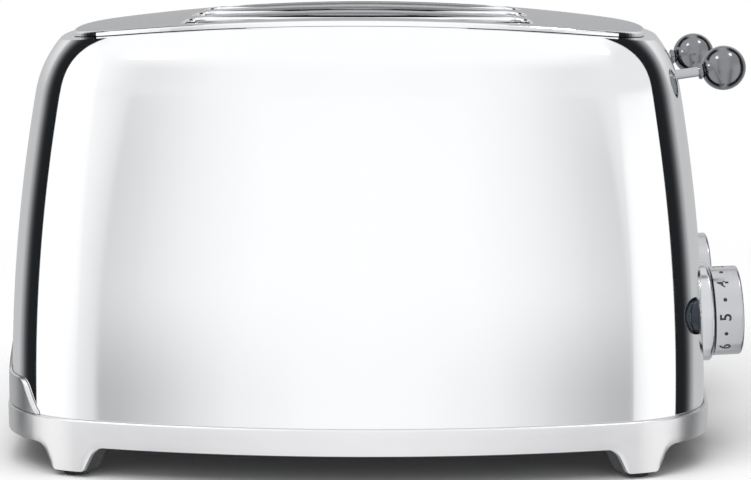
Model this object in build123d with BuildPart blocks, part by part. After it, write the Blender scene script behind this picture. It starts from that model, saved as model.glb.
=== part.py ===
from build123d import *
from math import cos, hypot, radians, sin, sqrt, tan
import os

# A four-slice toaster with a pressed steel body, a crowned top deck and two lever units.
# X runs along the slots towards the levers, Y runs to the back, Z is up.
# While it is modelled the body is centred on X = 0. Every finished piece is then moved
# by frame_shift, so that the origin lies under the middle of the whole object.

# Body, in plan and in height
shell_half_length = 178.0     # at the bottom edge
shell_half_depth = 160.0
side_bow = 30.0               # how far the long sides bulge over their chord
end_bow = 10.0                # the same for the two ends
corner_radius = 55.0
corner_share = 0.25           # part of the draw-in that the corner radius loses
shell_bottom = 24.0
shell_top = 219.0             # where the shoulder curve would turn level
shell_cap = 218.4             # where the form is cut off, just under that
side_draw = 20.4              # draw-in of the walls over the whole height
shoulder_start = 182.0
shoulder_run = 25.0           # width of the rounded shoulder
shell_wall = 1.2
fit_gap = 0.2                 # between pieces that are fitted together
section_count = 14

# Crowned top deck
deck_rise = 1.5               # highest point of the deck over the shoulder curve
crown_radius_x = 1088.0
crown_radius_y = 3100.0
deck_half_length = 148.0
deck_half_depth = 124.5
deck_corner = 48.0
deck_sheet = 1.2
deck_rim = 2.4                # height of the deck's folded edge
deck_ledge = 7.0              # width of the shell's rim under the deck

# Slots and lever units
unit_offset = 59.0            # lever, dial and carriage of each unit, from the middle
slot_offset = 27.0            # each slot of a pair, from its unit's middle
slot_length = 170.0
slot_width = 37.0
slot_corner = 10.0
collar_depth = 9.0

# Base ring, base moulding and feet
ring_wall = 1.8
ring_edge = 0.8
ring_top = 28.0
ring_lower = 15.2             # lower edge of the ring between the feet
ring_foot = 2.8               # lower edge of the ring at the feet
moulding_gap = 0.1
moulding_wall = 4.0
moulding_lip = 0.9            # how far the moulding shows below the ring
leg_depth = 17.0
floor_bottom = 17.5
floor_sheet = 2.8
foot_x = 138.6                # middle of each foot's face
foot_half_width = 8.0         # at its lower edge
foot_slope = 26.0
arch_fillet = 7.5
foot_fillet = 2.6
pad_radius = 6.0
pad_height = 4.0
pad_edge = 0.8
pad_inset = 9.0               # from the foot's face to the pad's middle
vent_count = 9
vent_pitch = 12.0
vent_size = (70.0, 5.0)

# Crumb trays and their fronts, at the end away from the levers
front_wall = 1.5
front_height = 57.0           # top edge in the middle
front_shoulder = 44.0         # height of the lower shoulder near the corners
front_half_width = 131.0      # at the ring
front_shoulder_y = (123.0, 98.0)
front_crown_y = 66.0
front_split = 0.4
front_fillets = (7.0, 24.0)   # at the shoulder, and at the bell above it
front_corner = 0.8            # at the lower corners
tray_bottom = 31.0
tray_height = 10.0
tray_sheet = 1.0
tray_y = (5.0, 114.0)          # from the middle plane outwards
tray_end_x = 100.0
tray_front_x = 150.0          # outer end of the pan, towards its front
tray_gap = 0.5
tray_door_top = 43.0
runner_width = 3.0

# Toasting chamber
end_plate_x = 104.0           # inner face of each end plate
plate_sheet = 1.0
plate_half_width = 120.0
plate_raise = 45.0            # lower edge of the plate above the trays
plate_top = 202.0
heater_offset = 52.0
heater_sheet = 1.0
heater_z = (52.0, 190.0)
ribbon_rows = 9
ribbon_size = (176.0, 1.6, 3.0)
reflector_y = 117.0
reflector_sheet = 0.8
reflector_z = (47.0, 200.0)

# Bread guides, two grids in each slot
guide_offset = 17.3
guide_travel = 6.0
wire_radius = 0.9
guide_z = (60.0, 197.0)
guide_wires = 9
guide_wire_span = 176.0
guide_end_x = 106.4
link_radius = 1.1
guide_slot_gap = 0.4

# Carriage, bread rack, guide rod and spring
lever_travel = 48.0
carriage_x = 111.0
carriage_sheet = 1.6
carriage_half_width = 38.0
carriage_z = (98.0, 176.0)
arm_half_width = 6.0
riser_x = 139.0
riser_top = 190.0
rack_z = (104.0, 112.0)
rack_width = 3.0
rack_end_x = 92.0
tine_count = 7
tine_pitch = 26.0
tine_half_width = 9.0
tine_size = 3.0
rack_slot_gap = 1.0
rod_x = 124.0
rod_radius = 2.5
rod_clearance = 0.08
flange_z = (42.0, 202.0)      # lower face of the bottom flange, upper face of the top one
flange_end_x = 131.0
flange_half_width = 13.0
spring_y = 9.0                # from the rod
spring_radius = 3.0
spring_bore = 1.8
magnet_size = (14.0, 16.0, 18.0)
magnet_y = 26.0               # from the unit's middle
piece_gap = 0.3               # between moving pieces that pass or meet each other

# Lever, ball and the slot in the shell
stem_radius = 2.5
stem_tilt = 8.5
stem_inset = 3.0              # how far the stem reaches through the riser
stem_clearance = 0.03
ball_radius = 11.2
ball_x = 184.0
ball_z = 191.5
collar_radius = 4.4
collar_length = 2.2
lever_slot_width = 8.0
lever_slot_margin = 4.0

# Dial, bezel and browning control
dial_z = 67.0
dial_tilt = 3.0
dial_radius = 22.7
dial_x = (180.0, 194.4)
dial_edge = 1.4
bezel_radius = 25.2
bezel_x = 179.2
bezel_depth = 15.0            # reaches well into the wall before it is trimmed to it
bezel_edge = 1.8
dial_wall = 2.0
hub_radius = 6.0
spindle_radius = 3.0
spindle_clearance = 0.3
control_size = (9.0, 20.0, 20.0)
board_seat_width = 8.0
board_x = 144.0
board_sheet = 1.6
board_y = (12.0, 120.0)       # from the middle plane outwards
board_z = (34.0, 92.0)

# Push buttons, one on each side of every dial
button_radius = 6.8
button_proud = 1.4
button_dome = 0.7
button_length = 8.0
trim_radius = 9.3
trim_gap = 0.3
trim_flange = 1.1             # how far its flange reaches past the sleeve
trim_proud = 0.9
trim_length = 4.0
button_y = (16.0, 111.0)      # from the middle plane outwards
button_z = 74.0

# Fasteners and cable entry under the base
screw_radius = 3.5
screw_head = 2.0
screw_x = 96.0
screw_inset = 26.0            # from the bulge of the long sides
gland_radius = 7.0
gland_inset = 32.0            # the same for the gland
gland_length = 12.0
gland_bore = 3.4
gland_flange = 2.0

# Worked out from the sizes above
deck_top = shell_top + deck_rise
screw_y = shell_half_depth - screw_inset
gland_y = shell_half_depth - gland_inset
floor_top = floor_bottom + floor_sheet

# The origin lies under the middle of the whole object, lever balls included
ring_outer = shell_half_length + fit_gap + ring_wall
frame_shift = (ring_outer - (ball_x + ball_radius)) / 2

units = (("front", -1), ("rear", 1))


def finish(piece, name, *others):
    """Moves a finished piece to the origin's place, names it and writes its STEP file.

    Others are further solids of the same piece, which stay solids of their own.
    """
    solids = [solid for part in (piece, *others) for solid in part.part.solids()]
    moved = Compound(solids).moved(Location((frame_shift, 0, 0)))
    moved.label = name
    export_step(moved, f"parts/{name}.step")


def draw_in(z):
    """How far the body's wall has come in from its bottom edge, at height z."""
    share = (z - shell_bottom) / (shell_top - shell_bottom)
    inset = side_draw * max(share, 0) ** 2
    if z > shoulder_start:
        rise = (z - shoulder_start) / (shell_top - shoulder_start)
        inset += shoulder_run * (1 - sqrt(1 - rise**2))
    return inset


def lean(z):
    """Angle by which the wall leans inwards at height z, as a rise over run of one."""
    return draw_in(z + 0.5) - draw_in(z - 0.5)


def section_levels(bottom):
    """Heights of the body's sections, evenly spaced along its profile."""
    steps = 2000
    heights = [bottom + (shell_cap - bottom) * step / steps for step in range(steps + 1)]
    lengths = [0]
    for low, high in zip(heights, heights[1:]):
        lengths.append(lengths[-1] + hypot(high - low, draw_in(high) - draw_in(low)))
    levels, wanted = [], 0
    for height, length in zip(heights, lengths):
        if length >= lengths[-1] * wanted / (section_count - 1) - 1e-9:
            levels.append(height)
            wanted += 1
    return levels


def bowed_outline(half_length, half_depth, corner):
    """A plan outline with four bowed sides and round corners."""
    corner_x, corner_y = half_length - end_bow, half_depth - side_bow
    with BuildSketch() as outline:
        with BuildLine():
            ThreePointArc((-corner_x, -corner_y), (0, -half_depth), (corner_x, -corner_y))
            ThreePointArc((corner_x, -corner_y), (half_length, 0), (corner_x, corner_y))
            ThreePointArc((corner_x, corner_y), (0, half_depth), (-corner_x, corner_y))
            ThreePointArc((-corner_x, corner_y), (-half_length, 0), (-corner_x, -corner_y))
        make_face()
        fillet(outline.vertices(), corner)
    return outline.sketch


def plan(inset):
    """The body's plan outline, drawn in by inset."""
    corner = corner_radius - corner_share * inset
    return bowed_outline(shell_half_length - inset, shell_half_depth - inset, corner)


def body_form(grow, bottom, drop=0.0):
    """The body's outer form with its walls moved out by grow and lowered by drop."""
    with BuildPart() as form:
        for level in section_levels(bottom):
            with BuildSketch(Plane.XY.offset(level - drop)):
                add(plan(draw_in(level) - grow))
        loft()
    return form.part


def wall_band(inner_grow, outer_grow, low, high):
    """A straight upright band that follows the plan outline."""
    with BuildPart() as band:
        with BuildSketch(Plane.XY.offset(low)):
            add(plan(-outer_grow))
            add(plan(-inner_grow), mode=Mode.SUBTRACT)
        extrude(amount=high - low)
    return band.part


def under_crown(top):
    """Everything below the crowned surface whose highest point is at height top."""
    reach, depth = 190.0, 240.0
    drop = crown_radius_x - sqrt(crown_radius_x**2 - reach**2)
    low = top - drop - depth
    with BuildPart() as mass:
        with BuildSketch(Plane.XZ):
            with BuildLine():
                ThreePointArc((-reach, top - drop), (0, top), (reach, top - drop))
                Polyline((reach, top - drop), (reach, low), (-reach, low), (-reach, top - drop))
            make_face()
        swing = 8.0
        spine = Axis((0, 0, top - crown_radius_y), (1, 0, 0))
        revolve(axis=spine, revolution_arc=swing)
    return mass.part.rotate(spine, -swing / 2)


def wall_plane(y, z, grow=0.0):
    """A plane on the lever end's outer surface at y and z, facing outwards and up."""
    outline = plan(draw_in(z) - grow)
    across = Edge.make_line((0, y), (2 * shell_half_length, y)).intersect(outline.face())
    spot = across.edges()[0].vertices().sort_by(Axis.X)[-1]
    edge = outline.edges().sort_by_distance(spot)[0]
    along = edge.tangent_at(edge.param_at_point(spot.center()))
    out = Vector(abs(along.Y), -along.X if along.Y > 0 else along.X, 0)
    side = Vector(-out.Y, out.X, 0)
    return Plane((spot.X, spot.Y, z), x_dir=side, z_dir=out + Vector(0, 0, lean(z)))


def foot_plane(side_x, side_y):
    """An upright plane on the ring's outer face at a foot, facing outwards."""
    outline = plan(-fit_gap - ring_wall)
    across = Edge.make_line((foot_x, 0), (foot_x, 2 * shell_half_depth)).intersect(outline.face())
    spot = across.edges()[0].vertices().sort_by(Axis.Y)[-1]
    edge = outline.edges().sort_by_distance(spot)[0]
    along = edge.tangent_at(edge.param_at_point(spot.center()))
    out = Vector(abs(along.Y) * side_x, abs(along.X) * side_y, 0)
    return Plane((side_x * spot.X, side_y * spot.Y, 0), x_dir=Vector(-out.Y, out.X, 0), z_dir=out)


def foot_block(side_x, side_y, low, edge, depth):
    """A tapered foot under a band whose lower edge is at height edge."""
    plane = foot_plane(side_x, side_y)
    spread = foot_half_width + (edge - low) * tan(radians(foot_slope))
    reach = 3 * spread
    with BuildPart() as block:
        with BuildSketch(Plane(plane.origin, x_dir=plane.x_dir, z_dir=plane.z_dir)) as face:
            with BuildLine():
                Polyline(
                    (-foot_half_width, low), (foot_half_width, low), (spread, edge), (reach, edge),
                    (reach, ring_top), (-reach, ring_top), (-reach, edge), (-spread, edge),
                    close=True,
                )
            make_face()
            at_edge = face.vertices().filter_by_position(Axis.Z, edge - 0.01, edge + 0.01)
            fillet(at_edge.sort_by_distance(plane.origin)[:2], arch_fillet)
            lowest = face.vertices().sort_by(Axis.Z)[:2]
            fillet(lowest, foot_fillet)
        extrude(amount=-depth)
        extrude(face.sketch, amount=moulding_wall)
    return block.part


def feet(low, edge, depth):
    """The four foot blocks together."""
    with BuildPart() as blocks:
        for side_x in (-1, 1):
            for side_y in (-1, 1):
                add(foot_block(side_x, side_y, low, edge, depth))
    return blocks.part


def front_outline():
    """The bell shape of both tray fronts together, seen from the end."""
    low = ring_top + fit_gap
    shoulder, rise = front_shoulder_y
    top, middle, half = front_height, front_shoulder, front_half_width
    with BuildSketch(Plane.YZ) as outline:
        with BuildLine():
            Polyline(
                (-half, low), (half, low), (shoulder, middle), (rise, middle),
                (front_crown_y, top), (-front_crown_y, top), (-rise, middle), (-shoulder, middle),
                close=True,
            )
        make_face()
        points = outline.vertices()
        fillet(points.filter_by(lambda v: abs(abs(v.Y) - shoulder) < 0.1), front_fillets[0])
        points = outline.vertices()
        fillet(points.filter_by(lambda v: abs(abs(v.Y) - rise) < 0.1), front_fillets[1])
        points = outline.vertices()
        fillet(points.filter_by(lambda v: abs(abs(v.Y) - front_crown_y) < 0.1), front_fillets[1])
        fillet(outline.vertices().sort_by(Axis.Z)[:2], front_corner)
    return outline.sketch


def slot_places():
    """The middle of every bread slot, as its Y."""
    return [side * unit_offset + step * slot_offset for _, side in units for step in (-1, 1)]


def deck_outline(inset):
    """The deck's plan outline, drawn in by inset."""
    return bowed_outline(deck_half_length - inset, deck_half_depth - inset, deck_corner - inset)


def dial_axis_plane(y, x):
    """A plane square to a dial's axis, where the axis has reached x."""
    tilt = radians(dial_tilt)
    height = dial_z + (x - dial_x[0]) * tan(tilt)
    return Plane((x, y, height), x_dir=(0, 1, 0), z_dir=(cos(tilt), 0, sin(tilt)))


def stem_plane(y, x):
    """A plane square to a lever's stem, where the stem has reached x."""
    tilt = radians(stem_tilt)
    height = ball_z + (x - ball_x) * tan(tilt)
    return Plane((x, y, height), x_dir=(0, 1, 0), z_dir=(cos(tilt), 0, sin(tilt)))


def lever_slot_span():
    """Lowest and highest point of a lever's slot where it passes the wall."""
    high = ball_z - (ball_x - shell_half_length + side_draw) * tan(radians(stem_tilt))
    reach = stem_radius + lever_slot_margin
    return high - lever_travel - reach, high + reach


def tray_span(side, room):
    """Lowest and highest Y of a tray, made wider by room on both sides."""
    near, far = side * (tray_y[0] - room), side * (tray_y[1] + room)
    return min(near, far), max(near, far)


def span_box(x, y, z, mode=Mode.ADD):
    """A box from its lowest to its highest X, Y and Z."""
    with Locations(((x[0] + x[1]) / 2, (y[0] + y[1]) / 2, (z[0] + z[1]) / 2)):
        Box(x[1] - x[0], y[1] - y[0], z[1] - z[0], mode=mode)


def make_shell():
    """The pressed steel body, open below, with the holes for everything that passes it."""
    sleeve = trim_radius - trim_flange + fit_gap
    with BuildPart() as outer_shell:
        add(body_form(0, shell_bottom))
        add(under_crown(deck_top - deck_rim - fit_gap), mode=Mode.INTERSECT)
        with BuildPart(mode=Mode.PRIVATE) as hollow:
            add(body_form(-shell_wall, shell_bottom, shell_wall))
            add(under_crown(deck_top - deck_rim - fit_gap - shell_wall), mode=Mode.INTERSECT)
        add(hollow.part, mode=Mode.SUBTRACT)
        with BuildSketch(Plane.XY.offset(shoulder_start)):
            add(deck_outline(deck_ledge))
        extrude(amount=deck_top - shoulder_start, mode=Mode.SUBTRACT)
        low, high = lever_slot_span()
        with BuildSketch(Plane.YZ.offset(riser_x)):
            for _, side in units:
                with Locations((side * unit_offset, (low + high) / 2)):
                    SlotOverall(high - low, lever_slot_width, rotation=90)
        extrude(amount=ring_outer - riser_x, mode=Mode.SUBTRACT)
        for _, side in units:
            with BuildSketch(dial_axis_plane(side * unit_offset, board_x)):
                Circle(spindle_radius + spindle_clearance + fit_gap)
            extrude(amount=dial_x[0] - board_x, mode=Mode.SUBTRACT)
            for place in button_y:
                with BuildSketch(wall_plane(side * place, button_z)):
                    Circle(sleeve)
                extrude(amount=trim_length, both=True, mode=Mode.SUBTRACT)
            door, door_z = tray_span(side, tray_gap), (tray_bottom - tray_gap, tray_door_top)
            span_box((-ring_outer, -tray_end_x), door, door_z, Mode.SUBTRACT)
    finish(outer_shell, "outer_shell")


def make_deck():
    """The crowned satin deck with its folded rim and a collar round every slot."""
    with BuildPart() as top_deck:
        with BuildSketch(Plane.XY.offset(shoulder_start)):
            add(deck_outline(0))
        extrude(amount=deck_top - shoulder_start)
        add(under_crown(deck_top), mode=Mode.INTERSECT)
        add(under_crown(deck_top - deck_rim), mode=Mode.SUBTRACT)
        with BuildPart(mode=Mode.PRIVATE) as underside:
            with BuildSketch(Plane.XY.offset(shoulder_start)):
                add(deck_outline(deck_sheet))
            extrude(amount=deck_top - shoulder_start)
            add(under_crown(deck_top - deck_sheet), mode=Mode.INTERSECT)
        add(underside.part, mode=Mode.SUBTRACT)
        with BuildPart(mode=Mode.PRIVATE) as collars:
            with BuildSketch(Plane.XY.offset(deck_top - collar_depth)):
                for place in slot_places():
                    with Locations((0, place)):
                        collar = slot_width + 2 * deck_sheet
                        RectangleRounded(slot_length + 2 * deck_sheet, collar, slot_corner + deck_sheet)
            extrude(amount=collar_depth)
            add(under_crown(deck_top), mode=Mode.INTERSECT)
        add(collars.part)
        with BuildSketch(Plane.XY.offset(shoulder_start)):
            for place in slot_places():
                with Locations((0, place)):
                    RectangleRounded(slot_length, slot_width, slot_corner)
        extrude(amount=deck_top - shoulder_start, mode=Mode.SUBTRACT)
    finish(top_deck, "top_deck")


def make_ring():
    """The base ring that shows all round, drawn down into four feet."""
    with BuildPart() as base_ring:
        add(wall_band(fit_gap, fit_gap + ring_wall, ring_lower, ring_top))
        top_edges = base_ring.edges().group_by(Axis.Z)[-1].sort_by(SortBy.LENGTH)
        fillet(top_edges.sort_by(SortBy.DISTANCE)[-8:], ring_edge)
        with BuildPart(mode=Mode.PRIVATE) as legs:
            add(wall_band(fit_gap, fit_gap + ring_wall, ring_foot, ring_lower))
            add(feet(ring_foot, ring_lower, leg_depth), mode=Mode.INTERSECT)
        add(legs.part)
    finish(base_ring, "base_ring")


def make_moulding():
    """The black base moulding: floor, rim, legs, tray runners and seats for the boards."""
    grow = fit_gap - moulding_gap
    low = ring_lower - moulding_lip
    leg_low = ring_foot - moulding_lip
    with BuildPart() as base_moulding:
        add(wall_band(grow - moulding_wall, grow, low, shell_bottom))
        with BuildSketch(Plane.XY.offset(floor_bottom)):
            add(plan(moulding_wall / 2))
        extrude(amount=floor_sheet)
        with BuildPart(mode=Mode.PRIVATE) as legs:
            with BuildSketch(Plane.XY.offset(leg_low)):
                add(plan(-grow))
            extrude(amount=floor_top - leg_low)
            add(feet(leg_low, low, leg_depth), mode=Mode.INTERSECT)
        add(legs.part)
        for side_x in (-1, 1):
            for side_y in (-1, 1):
                with BuildSketch(pad_plane(side_x, side_y)):
                    Circle(pad_radius + fit_gap)
                extrude(amount=pad_height, mode=Mode.SUBTRACT)
        with BuildSketch(Plane.XY.offset(floor_bottom)):
            with GridLocations(vent_size[0] + vent_pitch, vent_pitch, 2, vent_count):
                SlotOverall(vent_size[0], vent_size[1])
            with Locations((0, gland_y)):
                Circle(gland_radius + fit_gap)
            with Locations(*screw_places()):
                Circle(screw_radius / 2 + fit_gap)
        extrude(amount=floor_sheet, mode=Mode.SUBTRACT)
        for _, side in units:
            near, far = tray_span(side, -runner_width)
            for edge in (near, far - runner_width):
                runner = (edge, edge + runner_width)
                span_box((-end_plate_x - vent_pitch, tray_end_x), runner, (floor_top, tray_bottom - piece_gap))
            for place in board_y:
                seat = side * place - board_seat_width / 2
                span_box(
                    (board_x - board_sheet, board_x + 2 * board_sheet),
                    (seat, seat + board_seat_width),
                    (floor_top, board_z[0]),
                )
    finish(base_moulding, "base_moulding")


def pad_plane(side_x, side_y):
    """The level plane on which a foot's pad stands."""
    face = foot_plane(side_x, side_y)
    middle = face.origin - face.z_dir * pad_inset
    return Plane((middle.X, middle.Y, 0))


def screw_places():
    """Plan places of the screws that hold the base moulding."""
    return [(side_x * screw_x, side_y * screw_y) for side_x in (-1, 1) for side_y in (-1, 1)]


def make_pad(place, side_x, side_y):
    """A rubber pad, let into the underside of its foot."""
    with BuildPart() as pad:
        with BuildSketch(pad_plane(side_x, side_y)):
            Circle(pad_radius)
        extrude(amount=pad_height)
        fillet(pad.edges().group_by(Axis.Z)[0], pad_edge)
    finish(pad, f"foot_pad_{place}")


def make_tray(place, side):
    """A crumb tray: a shallow pan whose outer end meets the inside of its front."""
    low, high = tray_span(side, 0)
    with BuildPart() as tray:
        span_box((-2 * tray_end_x, tray_end_x), (low, high), (tray_bottom, tray_bottom + tray_height))
        inside = (low + tray_sheet, high - tray_sheet)
        pan_z = (tray_bottom + tray_sheet, tray_bottom + 2 * tray_height)
        span_box((-tray_front_x, tray_end_x - tray_sheet), inside, pan_z, Mode.SUBTRACT)
        add(body_form(fit_gap, shell_bottom), mode=Mode.INTERSECT)
    finish(tray, f"crumb_tray_{place}")


def make_tray_cover(place, side):
    """A tray's front: half of the bell-shaped cover that wraps round the end."""
    with BuildPart() as bell:
        extrude(front_outline(), amount=ring_outer, dir=(-1, 0, 0))
        near, far = side * front_split / 2, side * shell_half_depth
        span_box((-ring_outer, 0), (min(near, far), max(near, far)), (0, deck_top), Mode.INTERSECT)
    with BuildPart() as cover:
        add(body_form(fit_gap + front_wall, shell_bottom))
        add(body_form(fit_gap, shell_bottom), mode=Mode.SUBTRACT)
        add(bell.part, mode=Mode.INTERSECT)
    finish(cover, f"tray_cover_{place}")


def guide_slots(x):
    """Cutters for the slots in which the guides' rails travel, from the plane at x."""
    width = 2 * (wire_radius + guide_slot_gap)
    with BuildPart() as cutters:
        with BuildSketch(Plane.YZ.offset(x)):
            for place in slot_places():
                for sense in (-1, 1):
                    middle = place - sense * (guide_offset - guide_travel / 2)
                    with Locations(*[(middle, height) for height in guide_z]):
                        SlotOverall(guide_travel + width, width)
        extrude(amount=plate_sheet)
    return cutters.part


def make_left_plate():
    """The chamber's left end plate, raised over the trays on three legs."""
    with BuildPart() as end_plate:
        with BuildSketch(Plane.YZ.offset(-end_plate_x - plate_sheet)):
            with Locations((0, (plate_raise + plate_top) / 2)):
                Rectangle(2 * plate_half_width, plate_top - plate_raise)
            leg = (floor_top + plate_raise) / 2
            with Locations((0, leg)):
                Rectangle(2 * (tray_y[0] - tray_gap), plate_raise - floor_top)
            side_leg = plate_half_width - tray_y[1] - tray_gap
            with Locations(*[(side * (plate_half_width - side_leg / 2), leg) for _, side in units]):
                Rectangle(side_leg, plate_raise - floor_top)
        extrude(amount=plate_sheet)
        add(guide_slots(-end_plate_x - plate_sheet), mode=Mode.SUBTRACT)
    finish(end_plate, "end_plate_left")


def make_right_plate():
    """The right end plate, which also carries the rods' flanges and guides the racks."""
    bottom, top = flange_z
    with BuildPart() as end_plate:
        span_box(
            (end_plate_x, end_plate_x + plate_sheet),
            (-plate_half_width, plate_half_width),
            (floor_top, plate_top),
        )
        for _, side in units:
            middle = side * unit_offset
            span = (middle - flange_half_width, middle + flange_half_width)
            span_box((end_plate_x, flange_end_x), span, (bottom, bottom + plate_sheet))
            span_box((end_plate_x, flange_end_x), span, (top - plate_sheet, top))
        add(guide_slots(end_plate_x), mode=Mode.SUBTRACT)
        with BuildSketch(Plane.YZ.offset(end_plate_x)):
            for place in slot_places():
                low = rack_z[0] - lever_travel - rack_slot_gap
                high = rack_z[1] + rack_slot_gap
                with Locations((place, (low + high) / 2)):
                    Rectangle(rack_width + 2 * rack_slot_gap, high - low)
        extrude(amount=plate_sheet, mode=Mode.SUBTRACT)
    finish(end_plate, "end_plate_right")


def make_heater(place, y):
    """A heating element: a mica card with rows of flat resistance wire on both faces."""
    with BuildPart() as heater:
        half = heater_sheet / 2
        span_box((-end_plate_x, end_plate_x), (y - half, y + half), heater_z)
        pitch = (heater_z[1] - heater_z[0]) / ribbon_rows
        for row in range(ribbon_rows):
            with Locations((0, y, heater_z[0] + pitch * (row + 0.5))):
                Box(*ribbon_size)
    finish(heater, f"heater_{place}")


def make_reflector(place, y):
    """A plain reflector sheet between the end plates."""
    with BuildPart() as reflector:
        half = reflector_sheet / 2
        span_box((-end_plate_x, end_plate_x), (y - half, y + half), reflector_z)
    finish(reflector, f"reflector_{place}")


def make_guides(place, side, sense):
    """Two wire grids of one unit that close in the same direction, welded to their link bar."""
    link_x = guide_end_x + 2 * wire_radius
    rail_middle = -sense * (link_x - guide_end_x) / 2
    middles = [side * unit_offset + step * slot_offset - sense * guide_offset for step in (-1, 1)]
    pitch = guide_wire_span / (guide_wires - 1)
    with BuildPart() as link:
        with Locations((-sense * link_x, sum(middles) / 2, guide_z[1])):
            Cylinder(link_radius, middles[1] - middles[0] + 4 * wire_radius, rotation=(90, 0, 0))
    with BuildPart() as grids:
        for middle in middles:
            for height in guide_z:
                with Locations((rail_middle, middle, height)):
                    Cylinder(wire_radius, guide_end_x + link_x, rotation=(0, 90, 0))
            with Locations((0, middle, sum(guide_z) / 2)):
                with GridLocations(pitch, 1, guide_wires, 1):
                    Cylinder(wire_radius, guide_z[1] - guide_z[0])
        add(link.part, mode=Mode.SUBTRACT)
    finish(grids, f"bread_guides_{place}", link)


def make_carriage(place, side):
    """The pressed carriage that a lever moves along its rod."""
    middle = side * unit_offset
    low, high = carriage_z
    with BuildPart() as carriage:
        face = (carriage_x, carriage_x + carriage_sheet)
        span_box(face, (middle - carriage_half_width, middle + carriage_half_width), carriage_z)
        arm = (middle - arm_half_width, middle + arm_half_width)
        span_box((carriage_x, riser_x), arm, (high - carriage_sheet, high))
        span_box((riser_x - carriage_sheet, riser_x), arm, (high - carriage_sheet, riser_top))
        tab = (middle - arm_half_width, middle + flange_half_width)
        span_box((carriage_x, flange_end_x), tab, (low, low + carriage_sheet))
        depth = magnet_size[1] / 2
        keeper = (middle - magnet_y - depth, middle - magnet_y + depth)
        span_box((carriage_x, end_plate_x + plate_sheet + magnet_size[0]), keeper, (low, low + carriage_sheet))
        with BuildSketch(Plane.XY.offset(low)):
            with Locations((rod_x, middle)):
                Circle(rod_radius + rod_clearance)
        extrude(amount=high - low, mode=Mode.SUBTRACT)
        with BuildSketch(stem_plane(middle, riser_x - stem_inset)):
            Circle(stem_radius + stem_clearance)
        extrude(amount=2 * stem_inset, mode=Mode.SUBTRACT)
    finish(carriage, f"carriage_{place}")


def make_rack(place, side):
    """The rack that lifts the bread: an arm in each slot with cross tines."""
    middle = side * unit_offset
    with BuildPart() as rack:
        for step in (-1, 1):
            slot = middle + step * slot_offset
            half = rack_width / 2
            span_box((-rack_end_x, carriage_x), (slot - half, slot + half), rack_z)
            with Locations((0, slot, rack_z[1] - tine_size / 2)):
                with GridLocations(tine_pitch, 1, tine_count, 1):
                    Box(tine_size, 2 * tine_half_width, tine_size)
        strap = (middle - slot_offset, middle + slot_offset)
        span_box((carriage_x - carriage_sheet, carriage_x), strap, rack_z)
    finish(rack, f"bread_rack_{place}")


def make_rod(place, side):
    """The carriage's guide rod, held between the flanges."""
    with BuildPart() as rod:
        with BuildSketch(Plane.XY.offset(flange_z[0] + plate_sheet)):
            with Locations((rod_x, side * unit_offset)):
                Circle(rod_radius)
        extrude(amount=flange_z[1] - flange_z[0] - 2 * plate_sheet)
    finish(rod, f"guide_rod_{place}")


def make_spring(place, side):
    """The carriage's return spring, as a plain tube of its outer size."""
    low = carriage_z[0] + carriage_sheet + piece_gap
    with BuildPart() as spring:
        with BuildSketch(Plane.XY.offset(low)):
            with Locations((rod_x, side * unit_offset + spring_y)):
                Circle(spring_radius)
                Circle(spring_bore, mode=Mode.SUBTRACT)
        extrude(amount=flange_z[1] - plate_sheet - low)
    finish(spring, f"return_spring_{place}")


def make_magnet(place, side):
    """The electromagnet that holds the carriage down."""
    top = carriage_z[0] - lever_travel - piece_gap
    middle = side * unit_offset - magnet_y
    with BuildPart() as magnet:
        face = end_plate_x + plate_sheet
        depth = magnet_size[1] / 2
        span_box((face, face + magnet_size[0]), (middle - depth, middle + depth), (top - magnet_size[2], top))
    finish(magnet, f"electromagnet_{place}")


def make_lever(place, side):
    """A lever's stem and the ball on its end."""
    y = side * unit_offset
    length = (ball_x - riser_x + stem_inset) / cos(radians(stem_tilt))
    with BuildPart() as stem:
        with BuildSketch(stem_plane(y, riser_x - stem_inset)):
            Circle(stem_radius)
        extrude(amount=length)
    finish(stem, f"lever_stem_{place}")
    with BuildPart() as ball:
        with Locations((ball_x, y, ball_z)):
            Sphere(ball_radius)
        with BuildSketch(stem_plane(y, ball_x)):
            Circle(collar_radius)
        extrude(amount=-ball_radius - collar_length)
        with BuildSketch(stem_plane(y, ball_x)):
            Circle(stem_radius + stem_clearance)
        extrude(amount=-2 * ball_radius, mode=Mode.SUBTRACT)
    finish(ball, f"lever_ball_{place}")


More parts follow.
